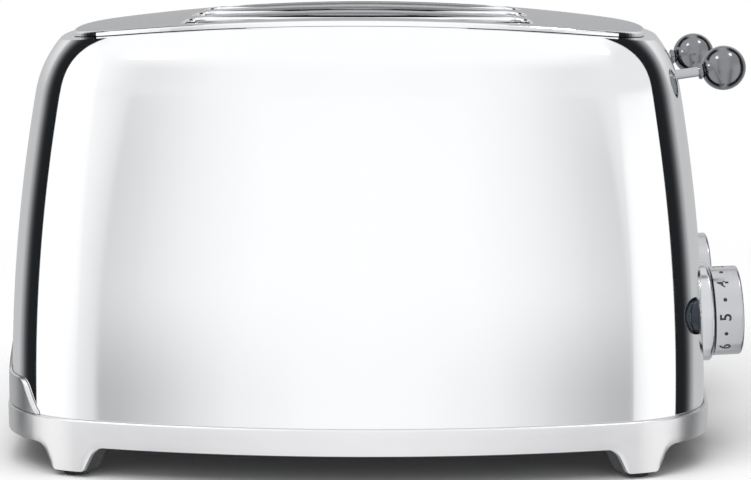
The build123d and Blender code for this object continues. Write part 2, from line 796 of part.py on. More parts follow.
def make_dial(place, side):
    """A dial's knob with its spindle, and the bezel that it turns on."""
    y = side * unit_offset
    depth = dial_x[1] - dial_x[0]
    with BuildPart() as bezel:
        with BuildSketch(dial_axis_plane(y, bezel_x)):
            Circle(bezel_radius)
        extrude(amount=-bezel_depth)
        rim = bezel.edges().filter_by(GeomType.CIRCLE).sort_by(Axis.X)[-1]
        fillet(rim, bezel_edge)
        with BuildSketch(dial_axis_plane(y, bezel_x)):
            Circle(spindle_radius + spindle_clearance)
        extrude(amount=-bezel_depth, mode=Mode.SUBTRACT)
        add(body_form(fit_gap, shell_bottom), mode=Mode.SUBTRACT)
    finish(bezel, f"dial_bezel_{place}")
    with BuildPart() as knob:
        with BuildSketch(dial_axis_plane(y, dial_x[0])):
            Circle(dial_radius)
        extrude(amount=depth)
        rim = knob.edges().filter_by(GeomType.CIRCLE).sort_by(Axis.X)[-1]
        fillet(rim, dial_edge)
        with BuildSketch(dial_axis_plane(y, dial_x[0])):
            Circle(dial_radius - dial_wall)
            Circle(hub_radius, mode=Mode.SUBTRACT)
        extrude(amount=depth - dial_wall, mode=Mode.SUBTRACT)
        with BuildSketch(dial_axis_plane(y, dial_x[0])):
            Circle(spindle_radius + stem_clearance)
        extrude(amount=depth - dial_wall, mode=Mode.SUBTRACT)
    finish(knob, f"dial_knob_{place}")
    with BuildPart() as spindle:
        with BuildSketch(dial_axis_plane(y, dial_x[1] - dial_wall)):
            Circle(spindle_radius)
        start = board_x + board_sheet + dial_wall
        extrude(amount=-(dial_x[1] - dial_wall - start))
    finish(spindle, f"dial_spindle_{place}")
    with BuildPart() as control:
        face = board_x + board_sheet
        half = control_size[1] / 2
        centre = dial_axis_plane(y, face).origin.Z
        span_box((face, face + control_size[0]), (y - half, y + half), (centre - half, centre + half))
        with BuildSketch(dial_axis_plane(y, face + dial_wall / 2)):
            Circle(spindle_radius + rod_clearance)
        extrude(amount=2 * control_size[0], mode=Mode.SUBTRACT)
    finish(control, f"browning_control_{place}")


def make_board(place, side):
    """A unit's circuit board, standing on the base moulding."""
    near, far = side * board_y[0], side * board_y[1]
    half = board_seat_width / 2
    with BuildPart() as board:
        span = (min(near, far) - half, max(near, far) + half)
        span_box((board_x, board_x + board_sheet), span, board_z)
    finish(board, f"control_board_{place}")


def make_trims(place, side):
    """The dark trim rings that guide a unit's two push buttons."""
    sleeve = trim_radius - trim_flange
    faces = [wall_plane(side * y, button_z).offset(-trim_length) for y in button_y]
    with BuildPart() as trims:
        for face in faces:
            with BuildSketch(face):
                Circle(trim_radius)
            extrude(amount=trim_length + trim_proud)
        add(body_form(fit_gap, shell_bottom), mode=Mode.SUBTRACT)
        for face in faces:
            with BuildSketch(face):
                Circle(sleeve)
            extrude(amount=trim_length + trim_proud)
            with BuildSketch(face):
                Circle(button_radius + trim_gap)
            extrude(amount=2 * trim_length, mode=Mode.SUBTRACT)
    finish(trims, f"button_trims_{place}")


def make_button(place, y):
    """A push button."""
    with BuildPart() as button:
        with BuildSketch(wall_plane(y, button_z).offset(-button_length)):
            Circle(button_radius)
        extrude(amount=button_length + button_proud)
        rim = button.edges().filter_by(GeomType.CIRCLE).sort_by(Axis.X)[-1]
        fillet(rim, button_dome)
    finish(button, f"push_button_{place}")


def make_screws():
    """The pan-head screws that hold the base moulding."""
    with BuildPart() as base_screws:
        with BuildSketch(Plane.XY.offset(floor_bottom - screw_head)):
            with Locations(*screw_places()):
                Circle(screw_radius)
        extrude(amount=screw_head)
        with BuildSketch(Plane.XY.offset(floor_bottom)):
            with Locations(*screw_places()):
                Circle(screw_radius / 2)
        extrude(amount=2 * floor_sheet)
    finish(base_screws, "base_screws")


def make_gland():
    """The bush in the base floor through which a mains cable would enter."""
    with BuildPart() as cable_gland:
        with BuildSketch(Plane.XY.offset(floor_bottom - gland_flange)):
            with Locations((0, gland_y)):
                Circle(gland_radius + gland_flange)
        extrude(amount=gland_flange)
        with BuildSketch(Plane.XY.offset(floor_bottom)):
            with Locations((0, gland_y)):
                Circle(gland_radius)
        extrude(amount=gland_length)
        with BuildSketch(Plane.XY.offset(floor_bottom - gland_flange)):
            with Locations((0, gland_y)):
                Circle(gland_bore)
        extrude(amount=gland_length + gland_flange, mode=Mode.SUBTRACT)
    finish(cable_gland, "cable_gland")


os.makedirs("parts", exist_ok=True)
make_shell()
make_deck()
make_ring()
make_moulding()
make_left_plate()
make_right_plate()
make_reflector("middle", 0)
for place, side in units:
    make_pad(f"{place}_left", -1, side)
    make_pad(f"{place}_right", 1, side)
    make_tray(place, side)
    make_tray_cover(place, side)
    make_reflector(place, side * reflector_y)
    for spot, step in (("inner", -side), ("middle", 0), ("outer", side)):
        make_heater(f"{place}_{spot}", side * unit_offset + step * heater_offset)
    for spot, sense in (("rearward", 1), ("forward", -1)):
        make_guides(f"{place}_{spot}", side, sense)
    make_carriage(place, side)
    make_rack(place, side)
    make_rod(place, side)
    make_spring(place, side)
    make_magnet(place, side)
    make_lever(place, side)
    make_dial(place, side)
    make_board(place, side)
    make_trims(place, side)
    for spot, y in zip(("inner", "outer"), button_y):
        make_button(f"{place}_{spot}", side * y)
make_screws()
make_gland()
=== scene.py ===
import functools
import math

import bmesh
import bpy
from bpy.props import FloatProperty, FloatVectorProperty, PointerProperty
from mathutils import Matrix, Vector


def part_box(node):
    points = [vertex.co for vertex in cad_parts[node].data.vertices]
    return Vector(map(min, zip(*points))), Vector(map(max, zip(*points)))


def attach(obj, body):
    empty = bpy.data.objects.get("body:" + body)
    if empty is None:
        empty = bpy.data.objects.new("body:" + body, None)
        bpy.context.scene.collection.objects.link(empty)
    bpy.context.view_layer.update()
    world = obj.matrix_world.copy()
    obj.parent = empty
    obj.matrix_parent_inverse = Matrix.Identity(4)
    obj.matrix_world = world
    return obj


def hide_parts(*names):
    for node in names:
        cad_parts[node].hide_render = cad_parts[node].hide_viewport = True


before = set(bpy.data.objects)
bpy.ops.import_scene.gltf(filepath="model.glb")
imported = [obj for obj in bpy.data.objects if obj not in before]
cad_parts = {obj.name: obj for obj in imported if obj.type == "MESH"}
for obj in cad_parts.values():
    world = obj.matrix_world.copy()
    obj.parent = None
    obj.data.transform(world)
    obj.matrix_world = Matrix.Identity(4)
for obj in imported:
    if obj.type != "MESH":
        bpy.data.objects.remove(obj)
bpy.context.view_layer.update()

bl_info = {
    "name": "Four-Slice Toaster",
    "version": (1, 0, 0),
    "blender": (4, 5, 0),
    "location": "View3D > Sidebar > Toaster",
    "description": "Dresses the packed toaster in its finished surfaces and sets its studio",
    "category": "Object",
}

MM = 0.001
UNITS = ("front", "rear")
BODY_LOW, BODY_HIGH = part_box("outer_shell")
RING_LOW, RING_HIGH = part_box("base_ring")
DECK_LOW, DECK_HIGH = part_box("top_deck")
MIDDLE_X = (RING_LOW.x + RING_HIGH.x) / 2


def box_middle(node):
    """The middle of a CAD node's box."""
    low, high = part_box(node)
    return (low + high) / 2


def linear(hex_colour):
    """An sRGB hex colour as linear RGB with alpha."""
    channels = [int(hex_colour[at:at + 2], 16) / 255 for at in (1, 3, 5)]
    turned = [c / 12.92 if c <= 0.04045 else ((c + 0.055) / 1.055) ** 2.4 for c in channels]
    return (*turned, 1.0)


class ToasterBodySizes(bpy.types.PropertyGroup):
    """Sizes of the pressed body and its deck."""

    side_bow: FloatProperty(
        name="Side bow", description="How far the long sides bulge over their chord",
        default=30 * MM, unit="LENGTH")
    end_bow: FloatProperty(
        name="End bow", description="How far the ends bulge over their chord",
        default=10 * MM, unit="LENGTH")
    corner: FloatProperty(
        name="Corner radius", description="Radius of the upright corners at the base",
        default=55 * MM, unit="LENGTH")
    corner_share: FloatProperty(
        name="Corner share", description="Part of the draw-in that the corner radius loses",
        default=0.25, subtype="FACTOR")
    draw: FloatProperty(
        name="Draw-in", description="How far the walls come in over the whole height",
        default=20.4 * MM, unit="LENGTH")
    form_top: FloatProperty(
        name="Form top", description="Height where the shoulder would turn level",
        default=219 * MM, unit="LENGTH")
    shoulder_start: FloatProperty(
        name="Shoulder start", description="Height where the rounded shoulder begins",
        default=182 * MM, unit="LENGTH")
    shoulder_run: FloatProperty(
        name="Shoulder run", description="Width of the rounded shoulder",
        default=25 * MM, unit="LENGTH")
    wall: FloatProperty(
        name="Wall", description="Thickness of the pressed steel",
        default=1.2 * MM, unit="LENGTH")
    crown_x: FloatProperty(
        name="Crown along", description="Radius of the deck's crown along the slots",
        default=1088 * MM, unit="LENGTH")
    crown_y: FloatProperty(
        name="Crown across", description="Radius of the deck's crown across the slots",
        default=3100 * MM, unit="LENGTH")
    deck_rim: FloatProperty(
        name="Deck rim", description="Height of the deck's folded edge",
        default=2.4 * MM, unit="LENGTH")
    deck_corner: FloatProperty(
        name="Deck corner", description="Corner radius of the deck",
        default=48 * MM, unit="LENGTH")
    deck_seat: FloatProperty(
        name="Deck seat", description="Gap between the deck's edge and the body",
        default=0.2 * MM, unit="LENGTH")
    deck_ledge: FloatProperty(
        name="Deck ledge", description="Width of the body's rim under the deck",
        default=7 * MM, unit="LENGTH")
    deck_sheet: FloatProperty(
        name="Deck sheet", description="Thickness of the deck",
        default=1.2 * MM, unit="LENGTH")
    slot_length: FloatProperty(
        name="Slot length", description="Length of each bread slot",
        default=170 * MM, unit="LENGTH")
    slot_width: FloatProperty(
        name="Slot width", description="Width of each bread slot",
        default=37 * MM, unit="LENGTH")
    slot_corner: FloatProperty(
        name="Slot corner", description="Corner radius of each bread slot",
        default=10 * MM, unit="LENGTH")
    slot_offset: FloatProperty(
        name="Slot offset", description="Each slot of a pair, from its unit's middle",
        default=27 * MM, unit="LENGTH")
    slot_collar: FloatProperty(
        name="Slot collar", description="Depth of the collar that is turned down round a slot",
        default=9 * MM, unit="LENGTH")
    slot_fold: FloatProperty(
        name="Slot fold", description="Depth of the bright folded edge of a slot",
        default=2.6 * MM, unit="LENGTH")
    lever_travel: FloatProperty(
        name="Lever travel", description="How far a lever moves down",
        default=48 * MM, unit="LENGTH")
    lever_slot_width: FloatProperty(
        name="Lever slot width", description="Width of the slots that the stems pass",
        default=8 * MM, unit="LENGTH")
    lever_slot_reach: FloatProperty(
        name="Lever slot reach", description="How far a slot goes on past its stem's middle",
        default=6.5 * MM, unit="LENGTH")
    stem_tilt: FloatProperty(
        name="Stem tilt", description="Upward tilt of the lever stems",
        default=math.radians(8.5), subtype="ANGLE")
    spindle_hole: FloatProperty(
        name="Spindle hole", description="Radius of the hole for a dial's spindle",
        default=3.5 * MM, unit="LENGTH")
    button_hole: FloatProperty(
        name="Button hole", description="Radius of the hole for a button's sleeve",
        default=8.4 * MM, unit="LENGTH")
    tray_room: FloatProperty(
        name="Tray room", description="Gap between a tray and the edge of its opening",
        default=0.5 * MM, unit="LENGTH")
    tray_door_top: FloatProperty(
        name="Tray opening top", description="Height of the tray openings' upper edge",
        default=43 * MM, unit="LENGTH")


def sizes():
    """The sizes of the body and its deck."""
    return bpy.context.scene.toaster_body


def draw_in(z):
    """How far the body's wall has come in from its bottom edge, at height z."""
    size = sizes()
    share = (z - BODY_LOW.z) / (size.form_top - BODY_LOW.z)
    inset = size.draw * max(share, 0) ** 2
    if z > size.shoulder_start:
        rise = min((z - size.shoulder_start) / (size.form_top - size.shoulder_start), 0.9995)
        inset += size.shoulder_run * (1 - math.sqrt(1 - rise**2))
    return inset


def crown(x, y, top):
    """Height of a crowned surface over x and y, whose highest point is at height top."""
    size = sizes()
    across = size.crown_y - (size.crown_y**2 - y**2) ** 0.5
    along = size.crown_x - (size.crown_x**2 - (x - MIDDLE_X) ** 2) ** 0.5
    return top - across - along


class Outline:
    """A plan outline of four bowed sides and round corners, followed by its direction."""

    def __init__(self, half_length, half_depth, corner):
        size = sizes()
        chord_x, chord_y = half_length - size.end_bow, half_depth - size.side_bow
        self.corner = corner
        self.side_r = (chord_x**2 + size.side_bow**2) / (2 * size.side_bow)
        self.end_r = (chord_y**2 + size.end_bow**2) / (2 * size.end_bow)
        self.side_c = Vector((0, half_depth - self.side_r))
        self.end_c = Vector((half_length - self.end_r, 0))
        reach_side, reach_end = self.side_r - corner, self.end_r - corner
        span = self.end_c - self.side_c
        gap = span.length
        along = (reach_side**2 - reach_end**2 + gap**2) / (2 * gap)
        off = math.sqrt(reach_side**2 - along**2)
        unit = span / gap
        self.corner_c = self.side_c + unit * along + Vector((-unit.y, unit.x)) * off
        if self.corner_c.x < 0 or self.corner_c.y < 0:
            self.corner_c = self.side_c + unit * along - Vector((-unit.y, unit.x)) * off
        to_side, to_end = self.corner_c - self.side_c, self.corner_c - self.end_c
        self.turn_side = math.atan2(to_side.x, to_side.y)
        self.turn_end = math.atan2(to_end.x, to_end.y)

    def quarter(self, turn):
        """Point and outward direction in the first quarter, where turn runs from +Y to +X."""
        out = Vector((math.sin(turn), math.cos(turn)))
        if turn < self.turn_side:
            return self.side_c + out * self.side_r, out
        if turn < self.turn_end:
            return self.corner_c + out * self.corner, out
        return self.end_c + out * self.end_r, out

    def turn_at(self, part):
        """The turn at a part of the first quarter, with a fixed number of parts in each arc."""
        knots = ((0, 0), (0.36, self.turn_side), (0.7, self.turn_end), (1, math.pi / 2))
        for (low, start), (high, end) in zip(knots, knots[1:]):
            if part <= high:
                return start + (end - start) * (part - low) / (high - low)
        return math.pi / 2

    def nearest(self, place):
        """Middle and radius of the arc nearest to a place, in the first quarter, and the place."""
        spot = Vector((abs(place.x - MIDDLE_X), abs(place.y)))
        turn = math.atan2(spot.x - self.corner_c.x, spot.y - self.corner_c.y)
        if turn < self.turn_side:
            return self.side_c, self.side_r, spot
        if turn < self.turn_end:
            return self.corner_c, self.corner, spot
        return self.end_c, self.end_r, spot

    def distance(self, place):
        """How far a place lies outside the outline."""
        middle, radius, spot = self.nearest(place)
        return (spot - middle).length - radius

    def direction(self, place):
        """The outward direction of the outline at its point nearest to a place."""
        middle, _, spot = self.nearest(place)
        out = (spot - middle).normalized()
        return Vector((math.copysign(out.x, place.x - MIDDLE_X), math.copysign(out.y, place.y)))

    def at(self, share):
        """Point and direction at a share of the way round, from -Y towards +X."""
        lap = share % 1.0 * 4
        fourth, part = int(lap), lap % 1.0
        if fourth % 2:
            part = 1 - part
        turn = self.turn_at(part)
        point, out = self.quarter(turn)
        sign_x = 1 if fourth in (0, 1) else -1
        sign_y = 1 if fourth in (1, 2) else -1
        flip = Vector((sign_x, sign_y))
        return (
            Vector((point.x * flip.x + MIDDLE_X, point.y * flip.y)),
            Vector((out.x * flip.x, out.y * flip.y)),
        )


def body_outline(inset):
    """The body's plan outline, drawn in by inset."""
    size = sizes()
    half_x, half_y = (BODY_HIGH.x - BODY_LOW.x) / 2, (BODY_HIGH.y - BODY_LOW.y) / 2
    return Outline(half_x - inset, half_y - inset, size.corner - size.corner_share * inset)


def deck_outline(inset):
    """The deck's plan outline, drawn in by inset."""
    half_x, half_y = (DECK_HIGH.x - DECK_LOW.x) / 2, (DECK_HIGH.y - DECK_LOW.y) / 2
    return Outline(half_x - inset, half_y - inset, sizes().deck_corner - inset)


class ToasterDialSizes(bpy.types.PropertyGroup):
    """Sizes of the two browning dials."""

    height: FloatProperty(
        name="Height", description="Height of the dials' middles", default=67 * MM, unit="LENGTH")
    tilt: FloatProperty(
        name="Tilt", description="Upward tilt of the dials' axes",
        default=math.radians(3), subtype="ANGLE")
    back: FloatProperty(
        name="Knob back", description="From the body's middle to the back edge of the knobs",
        default=180 * MM, unit="LENGTH")
    depth: FloatProperty(
        name="Knob depth", description="Depth of the knobs", default=14.4 * MM, unit="LENGTH")
    radius: FloatProperty(
        name="Knob radius", description="Radius of the knobs", default=22.7 * MM, unit="LENGTH")
    bezel: FloatProperty(
        name="Bezel radius", description="Radius of the ring behind a knob",
        default=25.2 * MM, unit="LENGTH")
    bezel_face: FloatProperty(
        name="Bezel face", description="From the body's middle to the rings' faces",
        default=179.2 * MM, unit="LENGTH")
    bore: FloatProperty(
        name="Bezel bore", description="Radius of the hole for the spindle in a bezel",
        default=3.3 * MM, unit="LENGTH")
    digit_height: FloatProperty(
        name="Digit height", description="Height of the figures on the knobs' rims",
        default=5.8 * MM, unit="LENGTH")
    setting: FloatProperty(
        name="Setting", description="How far the figures are turned from their upright places",
        default=math.radians(1.4), subtype="ANGLE")


class ToasterButtonSizes(bpy.types.PropertyGroup):
    """Sizes and places of the push buttons."""

    place_inner: FloatProperty(
        name="Inner place", description="Inner buttons' distance from the middle plane",
        default=16 * MM, unit="LENGTH")
    place_outer: FloatProperty(
        name="Outer place", description="Outer buttons' distance from the middle plane",
        default=111 * MM, unit="LENGTH")
    height: FloatProperty(
        name="Height", description="Height of the buttons", default=74 * MM, unit="LENGTH")
    radius: FloatProperty(
        name="Radius", description="Radius of the buttons", default=6.8 * MM, unit="LENGTH")
    proud: FloatProperty(
        name="Proud", description="How far the buttons stand out of the wall",
        default=1.4 * MM, unit="LENGTH")
    length: FloatProperty(
        name="Length", description="How far the buttons reach inwards",
        default=8 * MM, unit="LENGTH")
    trim: FloatProperty(
        name="Trim radius", description="Radius of the rings round the buttons",
        default=9.3 * MM, unit="LENGTH")
    trim_proud: FloatProperty(
        name="Trim proud", description="How far the rings stand out of the wall",
        default=0.9 * MM, unit="LENGTH")
    sleeve: FloatProperty(
        name="Sleeve length", description="How far the rings' sleeves reach inwards",
        default=4 * MM, unit="LENGTH")


class ToasterBaseSizes(bpy.types.PropertyGroup):
    """Sizes of the ring under the body, its feet and the tray fronts."""

    ring_gap: FloatProperty(
        name="Ring gap", description="Gap between the ring and the body",
        default=0.2 * MM, unit="LENGTH")
    ring_wall: FloatProperty(
        name="Ring wall", description="Thickness of the ring", default=1.8 * MM, unit="LENGTH")
    ring_lower: FloatProperty(
        name="Ring lower edge", description="Height of the ring's lower edge between the feet",
        default=15.2 * MM, unit="LENGTH")
    foot_x: FloatProperty(
        name="Foot place", description="From the body's middle to the middle of each foot",
        default=138.6 * MM, unit="LENGTH")
    foot_half: FloatProperty(
        name="Foot half width", description="Half of a foot's width at its lower edge",
        default=8 * MM, unit="LENGTH")
    foot_slope: FloatProperty(
        name="Foot slope", description="Slope of the feet's sides from upright",
        default=math.radians(26), subtype="ANGLE")
    arch: FloatProperty(
        name="Arch radius", description="Radius between a foot and the lower edge",
        default=7.5 * MM, unit="LENGTH")
    foot_round: FloatProperty(
        name="Foot radius", description="Radius of the feet's lower corners",
        default=2.6 * MM, unit="LENGTH")
    cover_wall: FloatProperty(
        name="Cover wall", description="Thickness of the tray fronts",
        default=1.5 * MM, unit="LENGTH")
    cover_half: FloatProperty(
        name="Cover half width", description="Half width of both tray fronts at the ring",
        default=131 * MM, unit="LENGTH")
    cover_low: FloatProperty(
        name="Cover lower edge", description="Height of the tray fronts' lower edge",
        default=28.2 * MM, unit="LENGTH")
    cover_shoulder: FloatProperty(
        name="Cover shoulder", description="Height of the tray fronts' low shoulder",
        default=44 * MM, unit="LENGTH")
    cover_top: FloatProperty(
        name="Cover top", description="Height of the tray fronts in the middle",
        default=57 * MM, unit="LENGTH")
    cover_crown: FloatProperty(
        name="Cover crown", description="Half width of the tray fronts' level top",
        default=66 * MM, unit="LENGTH")
    cover_rise: FloatProperty(
        name="Cover rise", description="Half width where the bell rises from its shoulder",
        default=98 * MM, unit="LENGTH")
    cover_corner: FloatProperty(
        name="Cover corner", description="Half width where the shoulder turns down",
        default=123 * MM, unit="LENGTH")
    cover_bell_round: FloatProperty(
        name="Bell radius", description="Radius of the bell's curves",
        default=24 * MM, unit="LENGTH")
    cover_corner_round: FloatProperty(
        name="Cover corner radius", description="Radius where the shoulder turns down",
        default=7 * MM, unit="LENGTH")
    cover_split: FloatProperty(
        name="Cover split", description="Gap between the two tray fronts",
        default=0.4 * MM, unit="LENGTH")


class ToasterColours(bpy.types.PropertyGroup):
    """Colours of the toaster's finishes."""

    chrome: FloatVectorProperty(
        name="Chromium", description="Tone of the bright chromium plate",
        default=linear("#F6F7F8"), size=4, subtype="COLOR", min=0, max=1)
    deck: FloatVectorProperty(
        name="Deck", description="Tone of the satin stainless deck",
        default=linear("#B4B5B8"), size=4, subtype="COLOR", min=0, max=1)
    ring: FloatVectorProperty(
        name="Ring", description="Tone of the base ring's satin plate",
        default=linear("#EDEDEE"), size=4, subtype="COLOR", min=0, max=1)
    cover: FloatVectorProperty(
        name="Tray fronts", description="Tone of the tray fronts' satin plate",
        default=linear("#E4E4E5"), size=4, subtype="COLOR", min=0, max=1)
    knob: FloatVectorProperty(
        name="Knobs", description="Tone of the turned aluminium knobs",
        default=linear("#C4C5C8"), size=4, subtype="COLOR", min=0, max=1)
    bezel: FloatVectorProperty(
        name="Bezels", description="Tone of the plated rings behind the knobs",
        default=linear("#D2D3D5"), size=4, subtype="COLOR", min=0, max=1)
    # The balls' dark grey is painted shade: they are chromium plated like the body, toned down for the
    # dark reflections they show.
    ball: FloatVectorProperty(
        name="Balls", description="Tone of the polished lever balls",
        default=linear("#85878A"), size=4, subtype="COLOR", min=0, max=1)
    # The stems' grey is painted shade: they are chromium plated like the body, toned down for the dark
    # lines they reflect.
    stem: FloatVectorProperty(
        name="Stems", description="Tone of the lever stems",
        default=linear("#B9BABC"), size=4, subtype="COLOR", min=0, max=1)
    button: FloatVectorProperty(
        name="Buttons", description="Colour of the push buttons",
        default=linear("#D9DDE0"), size=4, subtype="COLOR", min=0, max=1)
    trim: FloatVectorProperty(
        name="Button rings", description="Colour of the rings round the buttons",
        default=linear("#1C2732"), size=4, subtype="COLOR", min=0, max=1)
    ink: FloatVectorProperty(
        name="Ink", description="Colour of the printed figures and symbols",
        default=linear("#23272B"), size=4, subtype="COLOR", min=0, max=1)


def dial_sizes():
    """The sizes of the dials."""
    return bpy.context.scene.toaster_dial


def button_sizes():
    """The sizes of the push buttons."""
    return bpy.context.scene.toaster_buttons


def base_sizes():
    """The sizes of the ring, the feet and the tray fronts."""
    return bpy.context.scene.toaster_base


def colours():
    """The colours of the finishes."""
    return bpy.context.scene.toaster_colours


def make_piece(name, points, faces, material, body="chassis", slot=None, node=None):
    """A mesh piece that rides a body and may stand for a CAD node."""
    mesh = bpy.data.meshes.new(name)
    mesh.from_pydata([tuple(point) for point in points], [], faces)
    mesh.validate()
    build = bmesh.new()
    build.from_mesh(mesh)
    bmesh.ops.recalc_face_normals(build, faces=build.faces)
    build.to_mesh(mesh)
    build.free()
    mesh.shade_smooth()
    piece = bpy.data.objects.new(name, mesh)
    bpy.context.scene.collection.objects.link(piece)
    mesh.materials.append(material)
    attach(piece, body)
    if node:
        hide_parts(node)
    return piece


def loop_faces(rows, columns, around=True, closed=True):
    """Quads between rows of points; around joins the last column, closed joins the last row."""
    faces = []
    for row in range(rows if closed else rows - 1):
        upper = (row + 1) % rows
        for column in range(columns if around else columns - 1):
            nearby = (column + 1) % columns
            faces.append((
                row * columns + column, row * columns + nearby,
                upper * columns + nearby, upper * columns + column,
            ))
    return faces


def sharpen(piece, angle=35):
    """Keeps edges sharper than the angle crisp while the rest shades smooth."""
    limit = math.radians(angle)
    build = bmesh.new()
    build.from_mesh(piece.data)
    for edge in build.edges:
        edge.smooth = len(edge.link_faces) == 2 and edge.calc_face_angle(0) < limit
    build.to_mesh(piece.data)
    build.free()


def prism(points, start, along):
    """A closed cutter with the outline points, from start and as long as along."""
    count = len(points)
    corners = [start + point for point in points] + [start + along + point for point in points]
    faces = [tuple(range(count))[::-1], tuple(range(count, 2 * count))]
    faces += [(at, (at + 1) % count, count + (at + 1) % count, count + at) for at in range(count)]
    mesh = bpy.data.meshes.new("cutter")
    mesh.from_pydata([tuple(corner) for corner in corners], [], faces)
    build = bmesh.new()
    build.from_mesh(mesh)
    bmesh.ops.recalc_face_normals(build, faces=build.faces)
    build.to_mesh(mesh)
    build.free()
    return mesh


def cut(piece, cutters):
    """Takes the closed cutters out of a closed piece."""
    joined = bmesh.new()
    for cutter in cutters:
        joined.from_mesh(cutter)
    mesh = bpy.data.meshes.new("cutters")
    joined.to_mesh(mesh)
    joined.free()
    tool = bpy.data.objects.new("cutters", mesh)
    bpy.context.scene.collection.objects.link(tool)
    difference = piece.modifiers.new("holes", "BOOLEAN")
    difference.operation = "DIFFERENCE"
    difference.solver = "EXACT"
    difference.object = tool
    depsgraph = bpy.context.evaluated_depsgraph_get()
    result = bpy.data.meshes.new_from_object(piece.evaluated_get(depsgraph))
    piece.modifiers.clear()
    piece.data = result
    bpy.data.objects.remove(tool)


def use_normals(piece, surface):
    """Gives the corners that lie on a known surface its true normals.

    surface takes a corner's place and its face's normal, and returns a normal or None.
    """
    mesh = piece.data
    chosen = []
    for face in mesh.polygons:
        for corner in face.loop_indices:
            place = mesh.vertices[mesh.loops[corner].vertex_index].co
            true = surface(place, face.normal)
            chosen.append(tuple(true) if true else tuple(face.normal))
    mesh.normals_split_custom_set(chosen)


def stadium(half_length, radius, along, across, steps=12):
    """A slot outline with round ends, centred on the origin."""
    points = []
    for end in (1, -1):
        for step in range(steps + 1):
            turn = math.pi * step / steps - math.pi / 2
            points.append(
                along * end * (half_length - radius + radius * math.cos(turn))
                + across * end * radius * math.sin(turn))
    return points


def circle(radius, right, up, count=48):
    """Points round a circle about the origin."""
    turns = [2 * math.pi * step / count for step in range(count)]
    return [right * radius * math.cos(turn) + up * radius * math.sin(turn) for turn in turns]


def rounded_box(half_x, half_y, radius, steps=10):
    """Plan points and outward directions round a rectangle with round corners."""
    path = []
    for fourth, (sign_x, sign_y) in enumerate(((1, 1), (-1, 1), (-1, -1), (1, -1))):
        for step in range(steps + 1):
            turn = math.pi / 2 * (fourth + step / steps)
            out = Vector((math.cos(turn), math.sin(turn)))
            middle = Vector((sign_x * (half_x - radius), sign_y * (half_y - radius)))
            path.append((middle + out * radius, out))
    return path


def rounded_path(corners, radii, steps=8):
    """A 2D line through corners, each rounded to its radius."""
    path = [Vector(corners[0])]
    for before, at, after, radius in zip(corners, corners[1:], corners[2:], radii):
        before, at, after = Vector(before), Vector(at), Vector(after)
        back, on = (before - at).normalized(), (after - at).normalized()
        half = back.angle(on) / 2
        reach = radius / math.tan(half)
        centre = at + (back + on).normalized() * radius / math.sin(half)
        first, last = at + back * reach, at + on * reach
        for step in range(steps + 1):
            blend = (first - centre).lerp(last - centre, step / steps)
            path.append(centre + blend.normalized() * radius)
    path.append(Vector(corners[-1]))
    return path


def height_at(path, place):
    """Height of a line over a place, where the line's first values rise."""
    for low, high in zip(path, path[1:]):
        if place <= high.x:
            share = 0 if high.x - low.x < 1e-9 else (place - low.x) / (high.x - low.x)
            return low.y + (high.y - low.y) * max(share, 0)
    return path[-1].y


def lathe(name, profile, origin, axis, material, body, count=64, **links):
    """A closed profile of radius and distance, turned round an axis."""
    axis = axis.normalized()
    right = Vector((0, 1, 0))
    up = axis.cross(right).normalized()
    on_axis = [radius < 1e-7 for radius, _ in profile]
    points, rings = [], []
    for (radius, along), single in zip(profile, on_axis):
        middle = origin + axis * along
        if single:
            rings.append([len(points)] * count)
            points.append(middle)
        else:
            rings.append(list(range(len(points), len(points) + count)))
            points += [middle + spot for spot in circle(radius, right, up, count)]
    faces = []
    pairs = list(zip(rings, rings[1:]))
    if not (on_axis[0] and on_axis[-1]):
        pairs.append((rings[-1], rings[0]))
    for low, high in pairs:
        for at in range(count):
            nearby = (at + 1) % count
            corners = [low[at], low[nearby], high[nearby], high[at]]
            faces.append(tuple(dict.fromkeys(corners)))
    faces = [face for face in faces if len(face) > 2]
    piece = make_piece(name, points, faces, material, body, **links)
    sharpen(piece)
    return piece


def open_socket(node, key):
    """The enabled input of a node with that name or number."""
    if isinstance(key, int):
        return node.inputs[key]
    return next(socket for socket in node.inputs if socket.name == key and socket.enabled)


def result(node):
    """The first output of a node that is in use."""
    return next(socket for socket in node.outputs if socket.enabled)


def add_node(tree, kind, inputs=(), **settings):
    """Adds a node with its settings, and sets or links its inputs.

    inputs holds values by the name or number of their sockets. A node among the values is
    linked by its result, a socket is linked itself, and anything else is a plain value.
    """
    node = tree.nodes.new(kind)
    for key, value in settings.items():
        setattr(node, key, value)
    for key, value in dict(inputs).items():
        socket = open_socket(node, key)
        if isinstance(value, bpy.types.Node):
            value = result(value)
        if isinstance(value, bpy.types.NodeSocket):
            tree.links.new(value, socket)
        else:
            socket.default_value = value
    return node


class Frame:
    """A place on the lever end with its outward, level and upward directions."""

    def __init__(self, origin, out):
        self.origin = origin
        self.out = out.normalized()
        self.x_dir = Vector((-self.out.y, self.out.x, 0)).normalized()
        self.y_dir = self.out.cross(self.x_dir)

    def at(self, right, up, forward=0.0):
        """The point right, up and forward of the origin."""
        return self.origin + self.x_dir * right + self.y_dir * up + self.out * forward


def end_place(y, z):
    """The point of the lever end's wall at y and z."""
    low, high = MIDDLE_X, BODY_HIGH.x
    for _ in range(40):
        middle = (low + high) / 2
        if wall_offset(Vector((middle, y, z))) < 0:
            low = middle
        else:
            high = middle
    return Vector((low, y, z))


def button_frame(node):
    """Where a push button's axis passes the wall, and its directions."""
    low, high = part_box(node)
    middle = (low + high) / 2
    size = button_sizes()
    place = end_place(size.place_inner if "inner" in node else size.place_outer, size.height)
    place.y = math.copysign(place.y, middle.y)
    return Frame(place, wall_normal(place))


def dial_frame(unit):
    """A dial's middle on the plane of its knob's back edge, and its directions."""
    size = dial_sizes()
    y = box_middle(f"lever_stem_{unit}").y
    out = Vector((math.cos(size.tilt), 0, math.sin(size.tilt)))
    return Frame(Vector((MIDDLE_X + size.back, y, size.height)), out)


